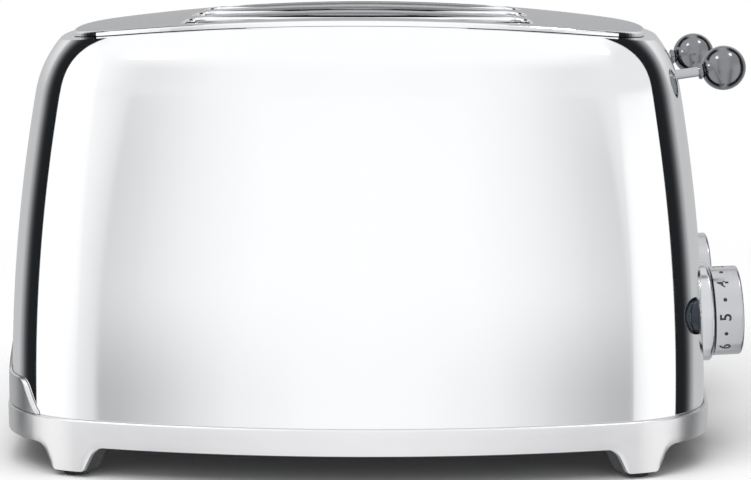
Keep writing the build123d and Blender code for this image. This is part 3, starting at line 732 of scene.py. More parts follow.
@functools.cache
def body_level(z):
    """The body's plan outline at height z."""
    return body_outline(draw_in(z))


def wall_offset(place):
    """How far a place lies outside the body's pressed wall, measured level."""
    level = min(max(place.z, BODY_LOW.z), sizes().form_top - 0.3 * MM)
    return body_level(round(level, 7)).distance(place)


def wall_normal(place):
    """The outward direction of the body's wall at a place on it."""
    level = min(max(place.z, BODY_LOW.z), sizes().form_top - 0.3 * MM)
    out = body_level(round(level, 7)).direction(place)
    step = 0.05 * MM
    high, low = place.copy(), place.copy()
    high.z, low.z = level + step, level - step
    rise = (wall_offset(high) - wall_offset(low)) / (2 * step)
    return Vector((out.x, out.y, rise)).normalized()


def crown_normal(place):
    """The upward direction of the crowned deck at a place on it."""
    size = sizes()
    return Vector(((place.x - MIDDLE_X) / size.crown_x, place.y / size.crown_y, 1)).normalized()


def wall_point(share, z, grow=0.0):
    """A point on the body's wall, moved outwards by grow."""
    spot, _ = body_level(round(z, 7)).at(share)
    place = Vector((spot.x, spot.y, z))
    return place + wall_normal(place) * grow if grow else place


def wall_top(share, top):
    """The height at which the wall meets the crowned surface with its highest point at top."""
    low, high = sizes().shoulder_start, sizes().form_top - 0.5 * MM
    for _ in range(24):
        middle = (low + high) / 2
        spot, _ = body_level(round(middle, 7)).at(share)
        if middle < crown(spot.x, spot.y, top):
            low = middle
        else:
            high = middle
    return low


def even_heights(low, high, rows):
    """Heights from low to high whose steps are even along the body's profile."""
    fine = 240
    heights = [low + (high - low) * step / fine for step in range(fine + 1)]
    lengths = [0.0]
    for under, over in zip(heights, heights[1:]):
        lengths.append(lengths[-1] + math.hypot(over - under, draw_in(over) - draw_in(under)))
    wanted = [lengths[-1] * row / (rows - 1) for row in range(rows)]
    found, at = [], 0
    for length in wanted:
        while at < fine - 1 and lengths[at + 1] < length:
            at += 1
        share = (length - lengths[at]) / max(lengths[at + 1] - lengths[at], 1e-12)
        found.append(heights[at] + (heights[at + 1] - heights[at]) * min(share, 1))
    return found


def wall_shade(place, normal):
    """The true normal of the pressed body where a corner lies on its outer face."""
    if abs(wall_offset(place)) < 0.03 * MM:
        true = wall_normal(place)
        if true.dot(normal) > 0.85:
            return true
    return None


def build_shell():
    """The pressed body in one smooth skin, cut for levers, dials, buttons and trays."""
    size, columns, rows = sizes(), 256, 46
    top = DECK_HIGH.z - size.deck_rim - size.deck_seat
    ledge = deck_outline(size.deck_ledge)
    outer, ledge_out, ledge_in, inner = [], [], [], []
    for column in range(columns):
        share = column / columns
        limit = wall_top(share, top)
        outer.append([wall_point(share, z) for z in even_heights(BODY_LOW.z, limit, rows)])
        inside_top = wall_top(share, top - size.wall)
        low_points = even_heights(BODY_LOW.z, inside_top - size.wall, rows // 3)
        inner.append([wall_point(share, z, -size.wall) for z in low_points])
        spot, _ = ledge.at(share)
        ledge_out.append(Vector((spot.x, spot.y, crown(spot.x, spot.y, top))))
        ledge_in.append(Vector((spot.x, spot.y, crown(spot.x, spot.y, top - size.wall))))
    loops = [[column[row] for column in outer] for row in range(rows)]
    loops += [ledge_out, ledge_in]
    loops += [[column[row] for column in inner] for row in reversed(range(rows // 3))]
    points = [point for loop in loops for point in loop]
    shell = make_piece(
        "shell_skin", points, loop_faces(len(loops), columns), chrome("body_chrome"),
        slot="chromed_steel", node="outer_shell")
    spindle_back, spindle_cut, button_cut, door_cut = 15 * MM, 40 * MM, 6 * MM, 90 * MM
    cutters = []
    for unit in UNITS:
        stem_low, stem_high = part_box(f"lever_stem_{unit}")
        ball = box_middle(f"lever_ball_{unit}")
        wall_x = BODY_HIGH.x - size.draw
        crossing = ball.z - (ball.x - wall_x) * math.tan(size.stem_tilt)
        middle_z = crossing - size.lever_travel / 2
        half = size.lever_travel / 2 + size.lever_slot_reach
        slot = stadium(half, size.lever_slot_width / 2, Vector((0, 0, 1)), Vector((0, 1, 0)))
        cutters.append(prism(
            slot, Vector((stem_low.x, ball.y, middle_z)), Vector((stem_high.x - stem_low.x, 0, 0))))
        dial = box_middle(f"dial_spindle_{unit}")
        hole = circle(size.spindle_hole, Vector((0, 1, 0)), Vector((0, 0, 1)), 32)
        cutters.append(prism(hole, dial - Vector((spindle_back, 0, 0)), Vector((spindle_cut, 0, 0))))
        for side in ("inner", "outer"):
            frame_at = button_frame(f"push_button_{unit}_{side}")
            hole = circle(size.button_hole, frame_at.x_dir, frame_at.y_dir, 32)
            cutters.append(prism(
                hole, frame_at.origin - frame_at.out * button_cut, frame_at.out * 2 * button_cut))
        tray_low, tray_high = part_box(f"crumb_tray_{unit}")
        room = size.tray_room
        low = Vector((BODY_LOW.x - room, tray_low.y - room, tray_low.z - room))
        span = Vector((door_cut, tray_high.y - tray_low.y + 2 * room, size.tray_door_top - low.z))
        door = [
            Vector((0, 0, 0)), Vector((0, span.y, 0)),
            Vector((0, span.y, span.z)), Vector((0, 0, span.z)),
        ]
        cutters.append(prism(door, low, Vector((span.x, 0, 0))))
    cut(shell, cutters)
    use_normals(shell, wall_or_ledge)


def wall_or_ledge(place, normal):
    """The true normal of the wall, or of the crowned rim under the deck."""
    found = wall_shade(place, normal)
    if found:
        return found
    true = crown_normal(place)
    return true if true.dot(normal) > 0.98 and place.z > sizes().shoulder_start else None


def deck_shade(place, normal):
    """The true normal of the crowned deck where a corner lies on its top."""
    if abs(place.z - crown(place.x, place.y, DECK_HIGH.z)) > 0.02 * MM:
        return None
    true = crown_normal(place)
    return true if true.dot(normal) > 0.9 else None


def slot_middles():
    """The middle of every bread slot at deck height."""
    places = []
    for unit in UNITS:
        middle = box_middle(f"lever_stem_{unit}").y
        for step in (-1, 1):
            places.append(Vector((MIDDLE_X, middle + step * sizes().slot_offset, 0)))
    return places


def build_deck():
    """The crowned satin deck with its rolled edge and four slot openings."""
    size, columns = sizes(), 224
    roll = 1.3 * MM
    turns = [math.pi / 2 * step / 6 for step in range(7)]
    profile = [(size.deck_sheet, -size.deck_rim), (0.25 * MM, -size.deck_rim)]
    profile += [(0, -size.deck_rim + 0.25 * MM)]
    profile += [(roll - roll * math.cos(turn), -roll + roll * math.sin(turn)) for turn in turns]
    loops = []
    for inset, drop in profile:
        outline = deck_outline(inset)
        spots = [outline.at(column / columns)[0] for column in range(columns)]
        loops.append([
            Vector((spot.x, spot.y, crown(spot.x, spot.y, DECK_HIGH.z) + drop)) for spot in spots])
    edge = deck_outline(roll)
    for share in (0.94, 0.84, 0.7, 0.55, 0.4, 0.25, 0.1, 0.004):
        loop = []
        for column in range(columns):
            spot = edge.at(column / columns)[0]
            x, y = MIDDLE_X + (spot.x - MIDDLE_X) * share, spot.y * share
            loop.append(Vector((x, y, crown(x, y, DECK_HIGH.z))))
        loops.append(loop)
    count = len(loops)
    under = deck_outline(size.deck_sheet)
    for share in (0.004, 0.25, 0.5, 0.75, 1):
        loop = []
        for column in range(columns):
            spot = under.at(column / columns)[0]
            x, y = MIDDLE_X + (spot.x - MIDDLE_X) * share, spot.y * share
            loop.append(Vector((x, y, crown(x, y, DECK_HIGH.z - size.deck_sheet))))
        loops.append(loop)
    top, under = (range(at * columns, (at + 1) * columns) for at in (count - 1, count))
    faces = [face for face in loop_faces(len(loops), columns) if face[0] // columns != count - 1]
    faces += [tuple(top), tuple(under)[::-1]]
    points = [point for loop in loops for point in loop]
    deck = make_piece(
        "deck_skin", points, faces, satin_deck(), slot="satin_steel", node="top_deck")
    # The polished rim shows as a bright line round the satin deck.
    deck.data.materials.append(chrome("deck_rim_chrome"))
    for face in deck.data.polygons:
        if max(face.vertices) < len(profile) * columns:
            face.material_index = 1
    reach, cut_low, cut_height = 0.5 * MM, 180 * MM, 60 * MM
    cutters = []
    for middle in slot_middles():
        path = rounded_box(
            size.slot_length / 2 + reach, size.slot_width / 2 + reach, size.slot_corner + reach)
        hole = [Vector((spot.x, spot.y, 0)) for spot, _ in path]
        cutters.append(prism(hole, middle + Vector((0, 0, cut_low)), Vector((0, 0, cut_height))))
    cut(deck, cutters)
    use_normals(deck, deck_shade)


def build_slot_frames():
    """The bright folded lip of each bread slot, and the collar below it: heat tinted, and near black
    with painted shade.
    """
    size = sizes()
    sheet, depth, fold = size.deck_sheet, size.slot_collar, size.slot_fold
    lip = [
        (1.0 * MM, -0.9 * MM), (1.0 * MM, 0.02 * MM), (0.9 * MM, 0.1 * MM), (0.7 * MM, 0.14 * MM),
        (0.45 * MM, 0.08 * MM), (0.2 * MM, -0.15 * MM), (0.04 * MM, -0.5 * MM), (0, -1.0 * MM),
        (0, -fold), (sheet * 0.9, -fold), (sheet * 0.9, -0.9 * MM),
    ]
    collar = [(0.05 * MM, -fold), (0.05 * MM, -depth), (sheet, -depth), (sheet, -fold)]
    for number, middle in enumerate(slot_middles(), 1):
        path = rounded_box(size.slot_length / 2, size.slot_width / 2, size.slot_corner, 12)
        for name, profile, material, slot in (
                ("slot_lip", lip, chrome("slot_lip_chrome"), "chromed_steel"),
                # The collar's near-black finish is painted shade for the slot wells, over a real heat
                # tint.
                ("slot_collar", collar, heat_tinted_steel(), "satin_steel")):
            points = []
            for outward, rise in profile:
                for spot, out in path:
                    x, y = middle.x + spot.x + out.x * outward, middle.y + spot.y + out.y * outward
                    points.append(Vector((x, y, crown(x, y, DECK_HIGH.z) + rise)))
            piece = make_piece(
                f"{name}_{number}", points, loop_faces(len(profile), len(path)), material, slot=slot)
            sharpen(piece, 50)


def foot_middle(side_x, side_y):
    """A foot's middle on the ring's outer face, and its outward direction."""
    base = base_sizes()
    outline = body_outline(-base.ring_gap - base.ring_wall)
    x = MIDDLE_X + side_x * base.foot_x
    low, high = 0.0, BODY_HIGH.y + 10 * MM
    for _ in range(40):
        middle = (low + high) / 2
        if outline.distance(Vector((x, middle))) < 0:
            low = middle
        else:
            high = middle
    place = Vector((x, side_y * low))
    return place, outline.direction(place)


def ring_shares():
    """Shares of the way round the ring, closer together at the feet."""
    base = base_sizes()
    outline = body_outline(-base.ring_gap - base.ring_wall)
    feet = [foot_middle(side_x, side_y)[0] for side_x in (-1, 1) for side_y in (-1, 1)]
    shares, share = [], 0.0
    while share < 1:
        shares.append(share)
        spot, _ = outline.at(share)
        near = min((spot - foot).length for foot in feet)
        share += 0.0005 if near < 22 * MM else 0.003
    return shares


def build_ring():
    """The ring under the body, drawn down into four feet."""
    base = base_sizes()
    outer = body_outline(-base.ring_gap - base.ring_wall)
    inner = body_outline(-base.ring_gap)
    feet = [foot_middle(side_x, side_y) for side_x in (-1, 1) for side_y in (-1, 1)]
    spread = base.foot_half + (base.ring_lower - RING_LOW.z) * math.tan(base.foot_slope)
    lower = rounded_path(
        [(0, RING_LOW.z), (base.foot_half, RING_LOW.z), (spread, base.ring_lower),
         (3 * spread, base.ring_lower)],
        [base.foot_round, base.arch], 10)
    top, soft = RING_HIGH.z, 0.8 * MM
    shares = ring_shares()
    rows = []
    for share in shares:
        spot, out = outer.at(share)
        inside, _ = inner.at(share)
        low = base.ring_lower
        for foot, foot_out in feet:
            across = abs((spot - foot).dot(Vector((-foot_out.y, foot_out.x))))
            if (spot - foot).length < 3 * spread:
                low = min(low, height_at(lower, across))
        column = [(inside, low), (spot - out * 0.5 * MM, low)]
        column += [(spot - out * 0.12 * MM, low + 0.14 * MM), (spot, low + 0.5 * MM)]
        column += [(spot, low + (top - soft - low) * part) for part in (0.33, 0.66, 1)]
        for step in range(1, 6):
            turn = math.pi / 2 * step / 5
            in_by, up_by = soft * (1 - math.cos(turn)), soft * math.sin(turn)
            column.append((spot - out * in_by, top - soft + up_by))
        column.append((inside, top))
        rows.append([Vector((place.x, place.y, z)) for place, z in column])
    points = [rows[column][row] for row in range(len(rows[0])) for column in range(len(rows))]
    ring = make_piece(
        "ring_skin", points, loop_faces(len(rows[0]), len(rows)), ring_metal(),
        slot="base_metal", node="base_ring")
    sharpen(ring, 40)


def build_covers():
    """The two bell-shaped tray fronts that wrap round the end."""
    base = base_sizes()
    wall, gap, soft = base.cover_wall, base.ring_gap, 0.45 * MM
    edge = rounded_path(
        [(0, base.cover_top), (base.cover_crown, base.cover_top),
         (base.cover_rise, base.cover_shoulder), (base.cover_corner, base.cover_shoulder),
         (base.cover_half, base.cover_low)],
        [base.cover_bell_round, base.cover_bell_round, base.cover_corner_round], 14)
    start, span, steps = base.cover_split / 2, base.cover_half - base.cover_split, 110
    fine = [start + span * step / steps for step in range(steps + 1)]
    for unit in UNITS:
        side = math.copysign(1, box_middle(f"tray_cover_{unit}").y)
        rows = []
        for y in fine:
            top = max(height_at(edge, y), base.cover_low + 2.5 * soft)
            low = base.cover_low
            column = [(gap, low), (gap + wall - soft, low), (gap + wall, low + soft)]
            face = top - low - 2 * soft
            column += [(gap + wall, low + soft + face * part / 6) for part in range(1, 7)]
            column += [(gap + wall - 0.3 * soft, top - 0.3 * soft)]
            column += [(gap + wall - soft, top), (gap, top)]
            column += [(gap, low + (top - low) * part) for part in (0.66, 0.33)]
            rows.append([tray_end_point(side * y, z, grow) for grow, z in column])
        count = len(rows[0])
        points = [rows[column][row] for row in range(count) for column in range(len(rows))]
        faces = loop_faces(count, len(rows), around=False)
        faces += [tuple(row * len(rows) for row in range(count))]
        faces += [tuple(row * len(rows) + len(rows) - 1 for row in range(count))]
        cover = make_piece(
            f"tray_cover_skin_{unit}", points, faces, cover_metal(),
            body=f"tray_{unit}", slot="base_metal", node=f"tray_cover_{unit}")
        sharpen(cover, 40)


def tray_end_point(y, z, grow):
    """A point at y and z on the end away from the levers, moved outwards by grow."""
    low, high = MIDDLE_X - BODY_HIGH.y * 2, MIDDLE_X
    for _ in range(36):
        middle = (low + high) / 2
        if wall_offset(Vector((middle, y, z))) > grow:
            low = middle
        else:
            high = middle
    return Vector((low, y, z))


def build_levers():
    """Each lever's stem and its polished ball."""
    size = sizes()
    for unit in UNITS:
        stem_low, stem_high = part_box(f"lever_stem_{unit}")
        ball_low, ball_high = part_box(f"lever_ball_{unit}")
        radius = (ball_high.y - ball_low.y) / 2
        centre = Vector((ball_high.x - radius, (ball_low.y + ball_high.y) / 2, ball_high.z - radius))
        axis = Vector((math.cos(size.stem_tilt), 0, math.sin(size.stem_tilt)))
        neck, bore, collar, chamfer, groove = 4.0 * MM, 2.53 * MM, 1.6 * MM, 0.4 * MM, 0.7 * MM
        start = math.asin(neck / radius)
        profile = [(bore, -radius * 0.6), (bore, -radius - collar), (neck - chamfer, -radius - collar)]
        profile += [(neck, -radius - collar + chamfer), (neck, -radius - 0.1 * MM)]
        profile += [(neck - groove, -radius), (neck - groove, -radius + 0.5 * MM)]
        for step in range(37):
            turn = start + (math.pi - start) * step / 36
            profile.append((radius * math.sin(turn), -radius * math.cos(turn)))
        profile[-1] = (0.0, radius)
        profile.append((0.0, -radius * 0.6))
        lathe(
            f"lever_ball_skin_{unit}", profile, centre, axis, ball_metal(),
            f"lever_unit_{unit}", count=72, slot="chromed_steel", node=f"lever_ball_{unit}")
        stem_radius = (stem_high.y - stem_low.y) / 2
        length = (centre.x - stem_low.x) / math.cos(size.stem_tilt)
        profile = [
            (0.0, -length), (stem_radius - 0.3 * MM, -length),
            (stem_radius, -length + 0.3 * MM), (stem_radius, 0.0), (0.0, 0.0),
        ]
        lathe(
            f"lever_stem_skin_{unit}", profile, centre, axis, stem_metal(),
            f"lever_unit_{unit}", count=40, slot="chromed_steel", node=f"lever_stem_{unit}")


def build_dials():
    """The two turned knobs with figures on their rims, and the rings behind them."""
    dial = dial_sizes()
    for unit in UNITS:
        frame_at = dial_frame(unit)
        depth, radius = dial.depth, dial.radius
        body = f"dial_{unit}"
        inner, hub, hub_back, chamfer, edge = radius - 2 * MM, 6 * MM, 0.6 * MM, 0.35 * MM, 1.4 * MM
        hub_out, roof = hub + 1 * MM, depth - 2.6 * MM
        profile = [(0.0, roof), (hub, roof), (hub, hub_back), (hub_out, hub_back)]
        profile += [(hub_out, roof), (inner, roof), (inner, 0.0)]
        profile += [(radius - chamfer, 0.0), (radius, chamfer), (radius, depth - edge)]
        for step in range(1, 9):
            turn = math.pi / 2 * step / 8
            in_by, up_by = edge * (1 - math.cos(turn)), edge * math.sin(turn)
            profile.append((radius - in_by, depth - edge + up_by))
        # The face is dished a little inside its flat rim.
        profile += [(radius - 3.2 * MM, depth), (radius - 3.9 * MM, depth - 0.35 * MM)]
        profile += [(radius * 0.5, depth - 0.75 * MM), (2.0 * MM, depth - 0.85 * MM)]
        profile += [(0.0, depth - 0.85 * MM)]
        lathe(
            f"dial_knob_skin_{unit}", profile, frame_at.origin, frame_at.out, knob_metal(),
            body, count=128, slot="brushed_knob", node=f"dial_knob_{unit}")
        add_figures(unit, frame_at)
        add_pointer(unit, frame_at)
        build_bezel(unit, frame_at)


def build_bezel(unit, frame_at):
    """The bright ring behind a knob, its back fitted to the wall."""
    dial = dial_sizes()
    face = (dial.bezel_face - dial.back) / math.cos(dial.tilt)
    outer, bore, edge, count = dial.bezel, dial.bore, 1.8 * MM, 96
    front = [(bore, face - 1.2 * MM), (dial.radius - 1.2 * MM, face - 1.2 * MM)]
    front += [(dial.radius + 0.1 * MM, face)]
    for step in range(9):
        turn = math.pi / 2 * step / 8
        front.append((outer - edge * (1 - math.sin(turn)), face - edge + edge * math.cos(turn)))
    rings = []
    for radius, along in front:
        rings.append([
            frame_at.at(spot.x, spot.y, along)
            for spot in circle(radius, Vector((1, 0, 0)), Vector((0, 1, 0)), count)])
    for radius in (outer, outer * 0.75, outer * 0.45, bore):
        ring = []
        for spot in circle(radius, Vector((1, 0, 0)), Vector((0, 1, 0)), count):
            ring.append(frame_at.at(spot.x, spot.y, wall_depth(frame_at, spot.x, spot.y)))
        rings.append(ring)
    points = [point for ring in rings for point in ring]
    bezel = make_piece(
        f"dial_bezel_skin_{unit}", points, loop_faces(len(rings), count), bezel_metal(),
        slot="brushed_knob", node=f"dial_bezel_{unit}")
    sharpen(bezel)


def wall_depth(frame_at, right, up):
    """Where a line along a dial's axis, right and up from its middle, meets the wall."""
    low, high = -25 * MM, 5 * MM
    for _ in range(24):
        middle = (low + high) / 2
        if wall_offset(frame_at.at(right, up, middle)) < 0.02 * MM:
            low = middle
        else:
            high = middle
    return high


def add_figures(unit, frame_at):
    """The figures 1 to 6 and the dots between them, printed round a knob's rim."""
    dial = dial_sizes()
    points, faces = [], []
    middle, lift, dot = dial.depth * 0.36, 0.05 * MM, 2.0 * MM
    for number in range(1, 7):
        turn = math.pi / 2 - (number - 3) * math.pi / 4 + dial.setting
        add_print(points, faces, str(number), dial.digit_height, turn, middle, frame_at, lift)
        if number < 6:
            add_print(points, faces, None, dot, turn - math.pi / 8, middle, frame_at, lift)
    make_piece(
        f"dial_figures_{unit}", points, faces, printed_ink(), body=f"dial_{unit}")


def add_print(points, faces, text, height, turn, middle, frame_at, lift):
    """Adds one figure, or a dot where text is None, wrapped round a knob's rim."""
    radius = dial_sizes().radius + lift
    if text is None:
        shape = circle(height / 2, Vector((1, 0, 0)), Vector((0, 1, 0)), 20)
        outlines = [tuple(range(len(shape)))]
    else:
        curve = bpy.data.curves.new("figure", "FONT")
        cap_height, weight = 0.72, 0.028
        curve.body, curve.size = text, height / cap_height
        curve.align_x, curve.align_y = "CENTER", "CENTER"
        curve.offset = weight * height
        figure = bpy.data.objects.new("figure", curve)
        bpy.context.scene.collection.objects.link(figure)
        depsgraph = bpy.context.evaluated_depsgraph_get()
        depsgraph.update()
        mesh = bpy.data.meshes.new_from_object(figure.evaluated_get(depsgraph))
        bpy.data.objects.remove(figure)
        shape = [vertex.co.copy() for vertex in mesh.vertices]
        outlines = [tuple(face.vertices) for face in mesh.polygons]
    start = len(points)
    for spot in shape:
        angle = turn + spot.x / radius
        along = middle - spot.y
        points.append(frame_at.at(-radius * math.cos(angle), radius * math.sin(angle), along))
    faces += [tuple(start + corner for corner in outline) for outline in outlines]


def add_pointer(unit, frame_at):
    """A small raised mark on a knob's face."""
    dial = dial_sizes()
    half, start, reach = 0.6 * MM, dial.radius * 0.62, dial.radius * 0.84
    low, high = dial.depth - 0.75 * MM, dial.depth - 0.1 * MM
    turn = math.pi / 2 + dial.setting
    up = frame_at.x_dir * -math.cos(turn) + frame_at.y_dir * math.sin(turn)
    side = up.cross(frame_at.out)
    outline = [
        up * start - side * half, up * reach - side * half,
        up * reach + side * half, up * start + side * half,
    ]
    mesh = prism(outline, frame_at.origin + frame_at.out * low, frame_at.out * (high - low))
    points = [vertex.co.copy() for vertex in mesh.vertices]
    faces = [tuple(face.vertices) for face in mesh.polygons]
    make_piece(f"dial_mark_{unit}", points, faces, printed_ink(), body=f"dial_{unit}")


def build_buttons():
    """The pale push buttons in their dark rings."""
    size = button_sizes()
    for unit in UNITS:
        for side in ("inner", "outer"):
            node = f"push_button_{unit}_{side}"
            frame_at = button_frame(node)
            radius, proud, edge = size.radius, size.proud, 0.6 * MM
            profile = [(0.0, -size.length), (radius, -size.length), (radius, proud - edge)]
            for step in range(1, 7):
                turn = math.pi / 2 * step / 6
                in_by, up_by = edge * (1 - math.cos(turn)), edge * math.sin(turn)
                profile.append((radius - in_by, proud - edge + up_by))
            profile += [(radius * 0.6, proud - 0.06 * MM), (0.0, proud - 0.1 * MM)]
            lathe(
                f"{node}_skin", profile, frame_at.origin, frame_at.out, button_plastic(),
                f"button_{unit}_{side}", count=64, slot="pale_button", node=node)
            add_symbol(unit, side, frame_at)
            outer, top, soft, sunk = size.trim, size.trim_proud, 0.3 * MM, -0.25 * MM
            sleeve, bore = outer - 1.1 * MM, size.radius + 0.3 * MM
            profile = [(bore, -size.sleeve), (bore, top - soft), (bore + soft, top)]
            profile += [(outer - 0.8 * MM, top), (outer - 0.2 * MM, top - soft)]
            profile += [(outer, 0.1 * MM), (outer, sunk), (sleeve, sunk), (sleeve, -size.sleeve)]
            trim = lathe(
                f"button_ring_{unit}_{side}", profile, frame_at.origin, frame_at.out, trim_plastic(),
                "chassis", count=72, slot="dark_trim")
            if side == "inner":
                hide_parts(f"button_trims_{unit}")


def add_symbol(unit, side, frame_at):
    """The printed symbol on a button: an ice crystal outside, a plain square inside."""
    points, faces = [], []
    lift = button_sizes().proud - 0.02 * MM

    def bar(start, end, width):
        """Adds one straight stroke."""
        along = (end - start).normalized()
        across = Vector((-along.y, along.x)) * width / 2
        first = len(points)
        for spot in (start - across, end - across, end + across, start + across):
            points.append(frame_at.at(spot.x, spot.y, lift))
        faces.append((first, first + 1, first + 2, first + 3))

    if side == "outer":
        for arm in range(6):
            turn = math.pi / 3 * arm + math.pi / 6
            out = Vector((math.cos(turn), math.sin(turn)))
            bar(Vector((0, 0)), out * 3.6 * MM, 0.5 * MM)
            for reach in (1.7, 2.6):
                for bend in (-1, 1):
                    leg = Vector((math.cos(turn + bend * 0.8), math.sin(turn + bend * 0.8)))
                    bar(out * reach * MM, out * reach * MM + leg * 1.0 * MM, 0.4 * MM)
    else:
        half = 2.1 * MM
        signs = ((-1, -1), (1, -1), (1, 1), (-1, 1))
        corners = [Vector((x * half, y * half)) for x, y in signs]
        for start, end in zip(corners, corners[1:] + corners[:1]):
            bar(start, end, 0.55 * MM)
    make_piece(
        f"button_symbol_{unit}_{side}", points, faces, printed_ink(), body=f"button_{unit}_{side}")


def new_finish(name, colour, metallic, rough, spot, stretch=(1, 1, 1)):
    """A finish whose roughness wanders between two values over spots of the given size.

    stretch draws the spots out along an axis where it is small. Returns the material, its
    shader, the texture's space and the clouds that make the spots.
    """
    material = bpy.data.materials.new(name)
    material.use_nodes = True
    tree = material.node_tree
    shader = tree.nodes["Principled BSDF"]
    shader.inputs["Base Color"].default_value = colour
    shader.inputs["Metallic"].default_value = metallic
    place = add_node(tree, "ShaderNodeTexCoord")
    space = add_node(
        tree, "ShaderNodeMapping", {"Vector": place.outputs["Object"], "Scale": stretch})
    cloud = add_node(
        tree, "ShaderNodeTexNoise",
        {"Vector": space, "Scale": 1 / spot, "Detail": 5.0, "Roughness": 0.6})
    spread = add_node(
        tree, "ShaderNodeMapRange",
        {"Value": cloud, "From Min": 0.3, "From Max": 0.7, "To Min": rough[0], "To Max": rough[1]})
    tree.links.new(result(spread), shader.inputs["Roughness"])
    return material, shader, space, cloud


@functools.cache
def chrome(name):
    """Pressed steel, polished and bright chromium plated.

    A near-perfect mirror. The sheet's slow waviness bends its reflections a little, and
    wiping leaves cloudy spots of softer gloss.
    """
    wave_length, wave_height = 38 * MM, 0.12 * MM
    material, shader, space, _ = new_finish(name, colours().chrome, 1.0, (0.035, 0.06), 45 * MM)
    tree = material.node_tree
    wave = add_node(
        tree, "ShaderNodeTexNoise", {"Vector": space, "Scale": 1 / wave_length, "Detail": 1.0})
    bump = add_node(
        tree, "ShaderNodeBump", {"Height": wave, "Strength": 0.12, "Distance": wave_height})
    tree.links.new(result(bump), shader.inputs["Normal"])
    return material


@functools.cache
def heat_tinted_steel():
    """Rolled stainless sheet, dulled brown by the toaster's heat and darkened almost to black with
    painted shade.

    The near black is painted shade that makes the slots read as dark wells; the uneven brown of the
    walls is the heat tint.
    """
    material, shader, _, cloud = new_finish(
        "collar_heat_tint_and_painted_shade", linear("#3A3632"), 1.0, (0.4, 0.6), 9 * MM)
    tree = material.node_tree
    # Both tones are near black: painted shade for the slot wells, with the clouds' uneven brown as the
    # heat tint.
    tint_and_painted_shade = add_node(
        tree, "ShaderNodeMix", {"Factor": cloud, "A": linear("#3A3632"), "B": linear("#241F1C")},
        data_type="RGBA")
    tree.links.new(result(tint_and_painted_shade), shader.inputs["Base Color"])
    return material


@functools.cache
def ball_metal():
    """Turned steel ball, polished and chromium plated like the body; its darker grey tone is painted
    shade.
    """
    # The dark grey base is painted shade that stands in for the balls' dark reflections.
    return new_finish("ball_chrome_with_painted_shade", colours().ball, 1.0, (0.13, 0.2), 8 * MM)[0]


@functools.cache
def stem_metal():
    """Drawn steel rod, chromium plated like the body, its tone greyed with painted shade: faint lines
    run along it.
    """
    # The grey base is painted shade that stands in for the dark lines the stems reflect.
    return new_finish(
        "stem_chrome_with_painted_shade", colours().stem, 1.0, (0.12, 0.2), 0.6 * MM, (0.04, 1, 1))[0]


@functools.cache
def satin_deck():
    """Stainless sheet, satin ground along the slots: a soft grey sheen with a fine grain.

    The real grain is finer than the render shows, so it is drawn 0.4 mm wide.
    """
    return new_finish(
        "deck_satin_stainless", colours().deck, 1.0, (0.24, 0.36), 0.4 * MM, (0.03, 1, 1))[0]


@functools.cache
def ring_metal():
    """Die-cast ring, satin plated: a pale metal with blurred reflections."""
    return new_finish("ring_satin_plate", colours().ring, 1.0, (0.3, 0.4), 20 * MM)[0]


@functools.cache
def cover_metal():
    """Pressed steel front, satin plated like the ring, a shade darker than it."""
    return new_finish("cover_satin_plate", colours().cover, 1.0, (0.3, 0.4), 20 * MM)[0]


@functools.cache
def knob_metal():
    """Turned aluminium, brushed round its axis: fine bright lines run round the rim.

    The real lines are finer than the render shows, so they are drawn 1.2 mm apart.
    """
    return new_finish(
        "knob_turned_aluminium", colours().knob, 1.0, (0.16, 0.26), 1.2 * MM, (1, 0.05, 0.05))[0]


@functools.cache
def bezel_metal():
    """Spun steel ring, bright nickel plated: clearer than the knob in front of it."""
    return new_finish("bezel_bright_plate", colours().bezel, 1.0, (0.16, 0.24), 12 * MM)[0]


@functools.cache
def button_plastic():
    """Moulded ABS with a fine texture: pale, with a broad soft highlight."""
    return new_finish("button_moulded_abs", colours().button, 0.0, (0.28, 0.42), 6 * MM)[0]


@functools.cache
def trim_plastic():
    """Moulded ABS from a polished tool: near black, with a clear highlight on its edge."""
    return new_finish("trim_moulded_abs", colours().trim, 0.0, (0.2, 0.3), 6 * MM)[0]


@functools.cache
def printed_ink():
    """Pad-printed ink: flat and dark against the metal."""
    return new_finish("printed_dark_ink", colours().ink, 0.0, (0.4, 0.6), 6 * MM)[0]


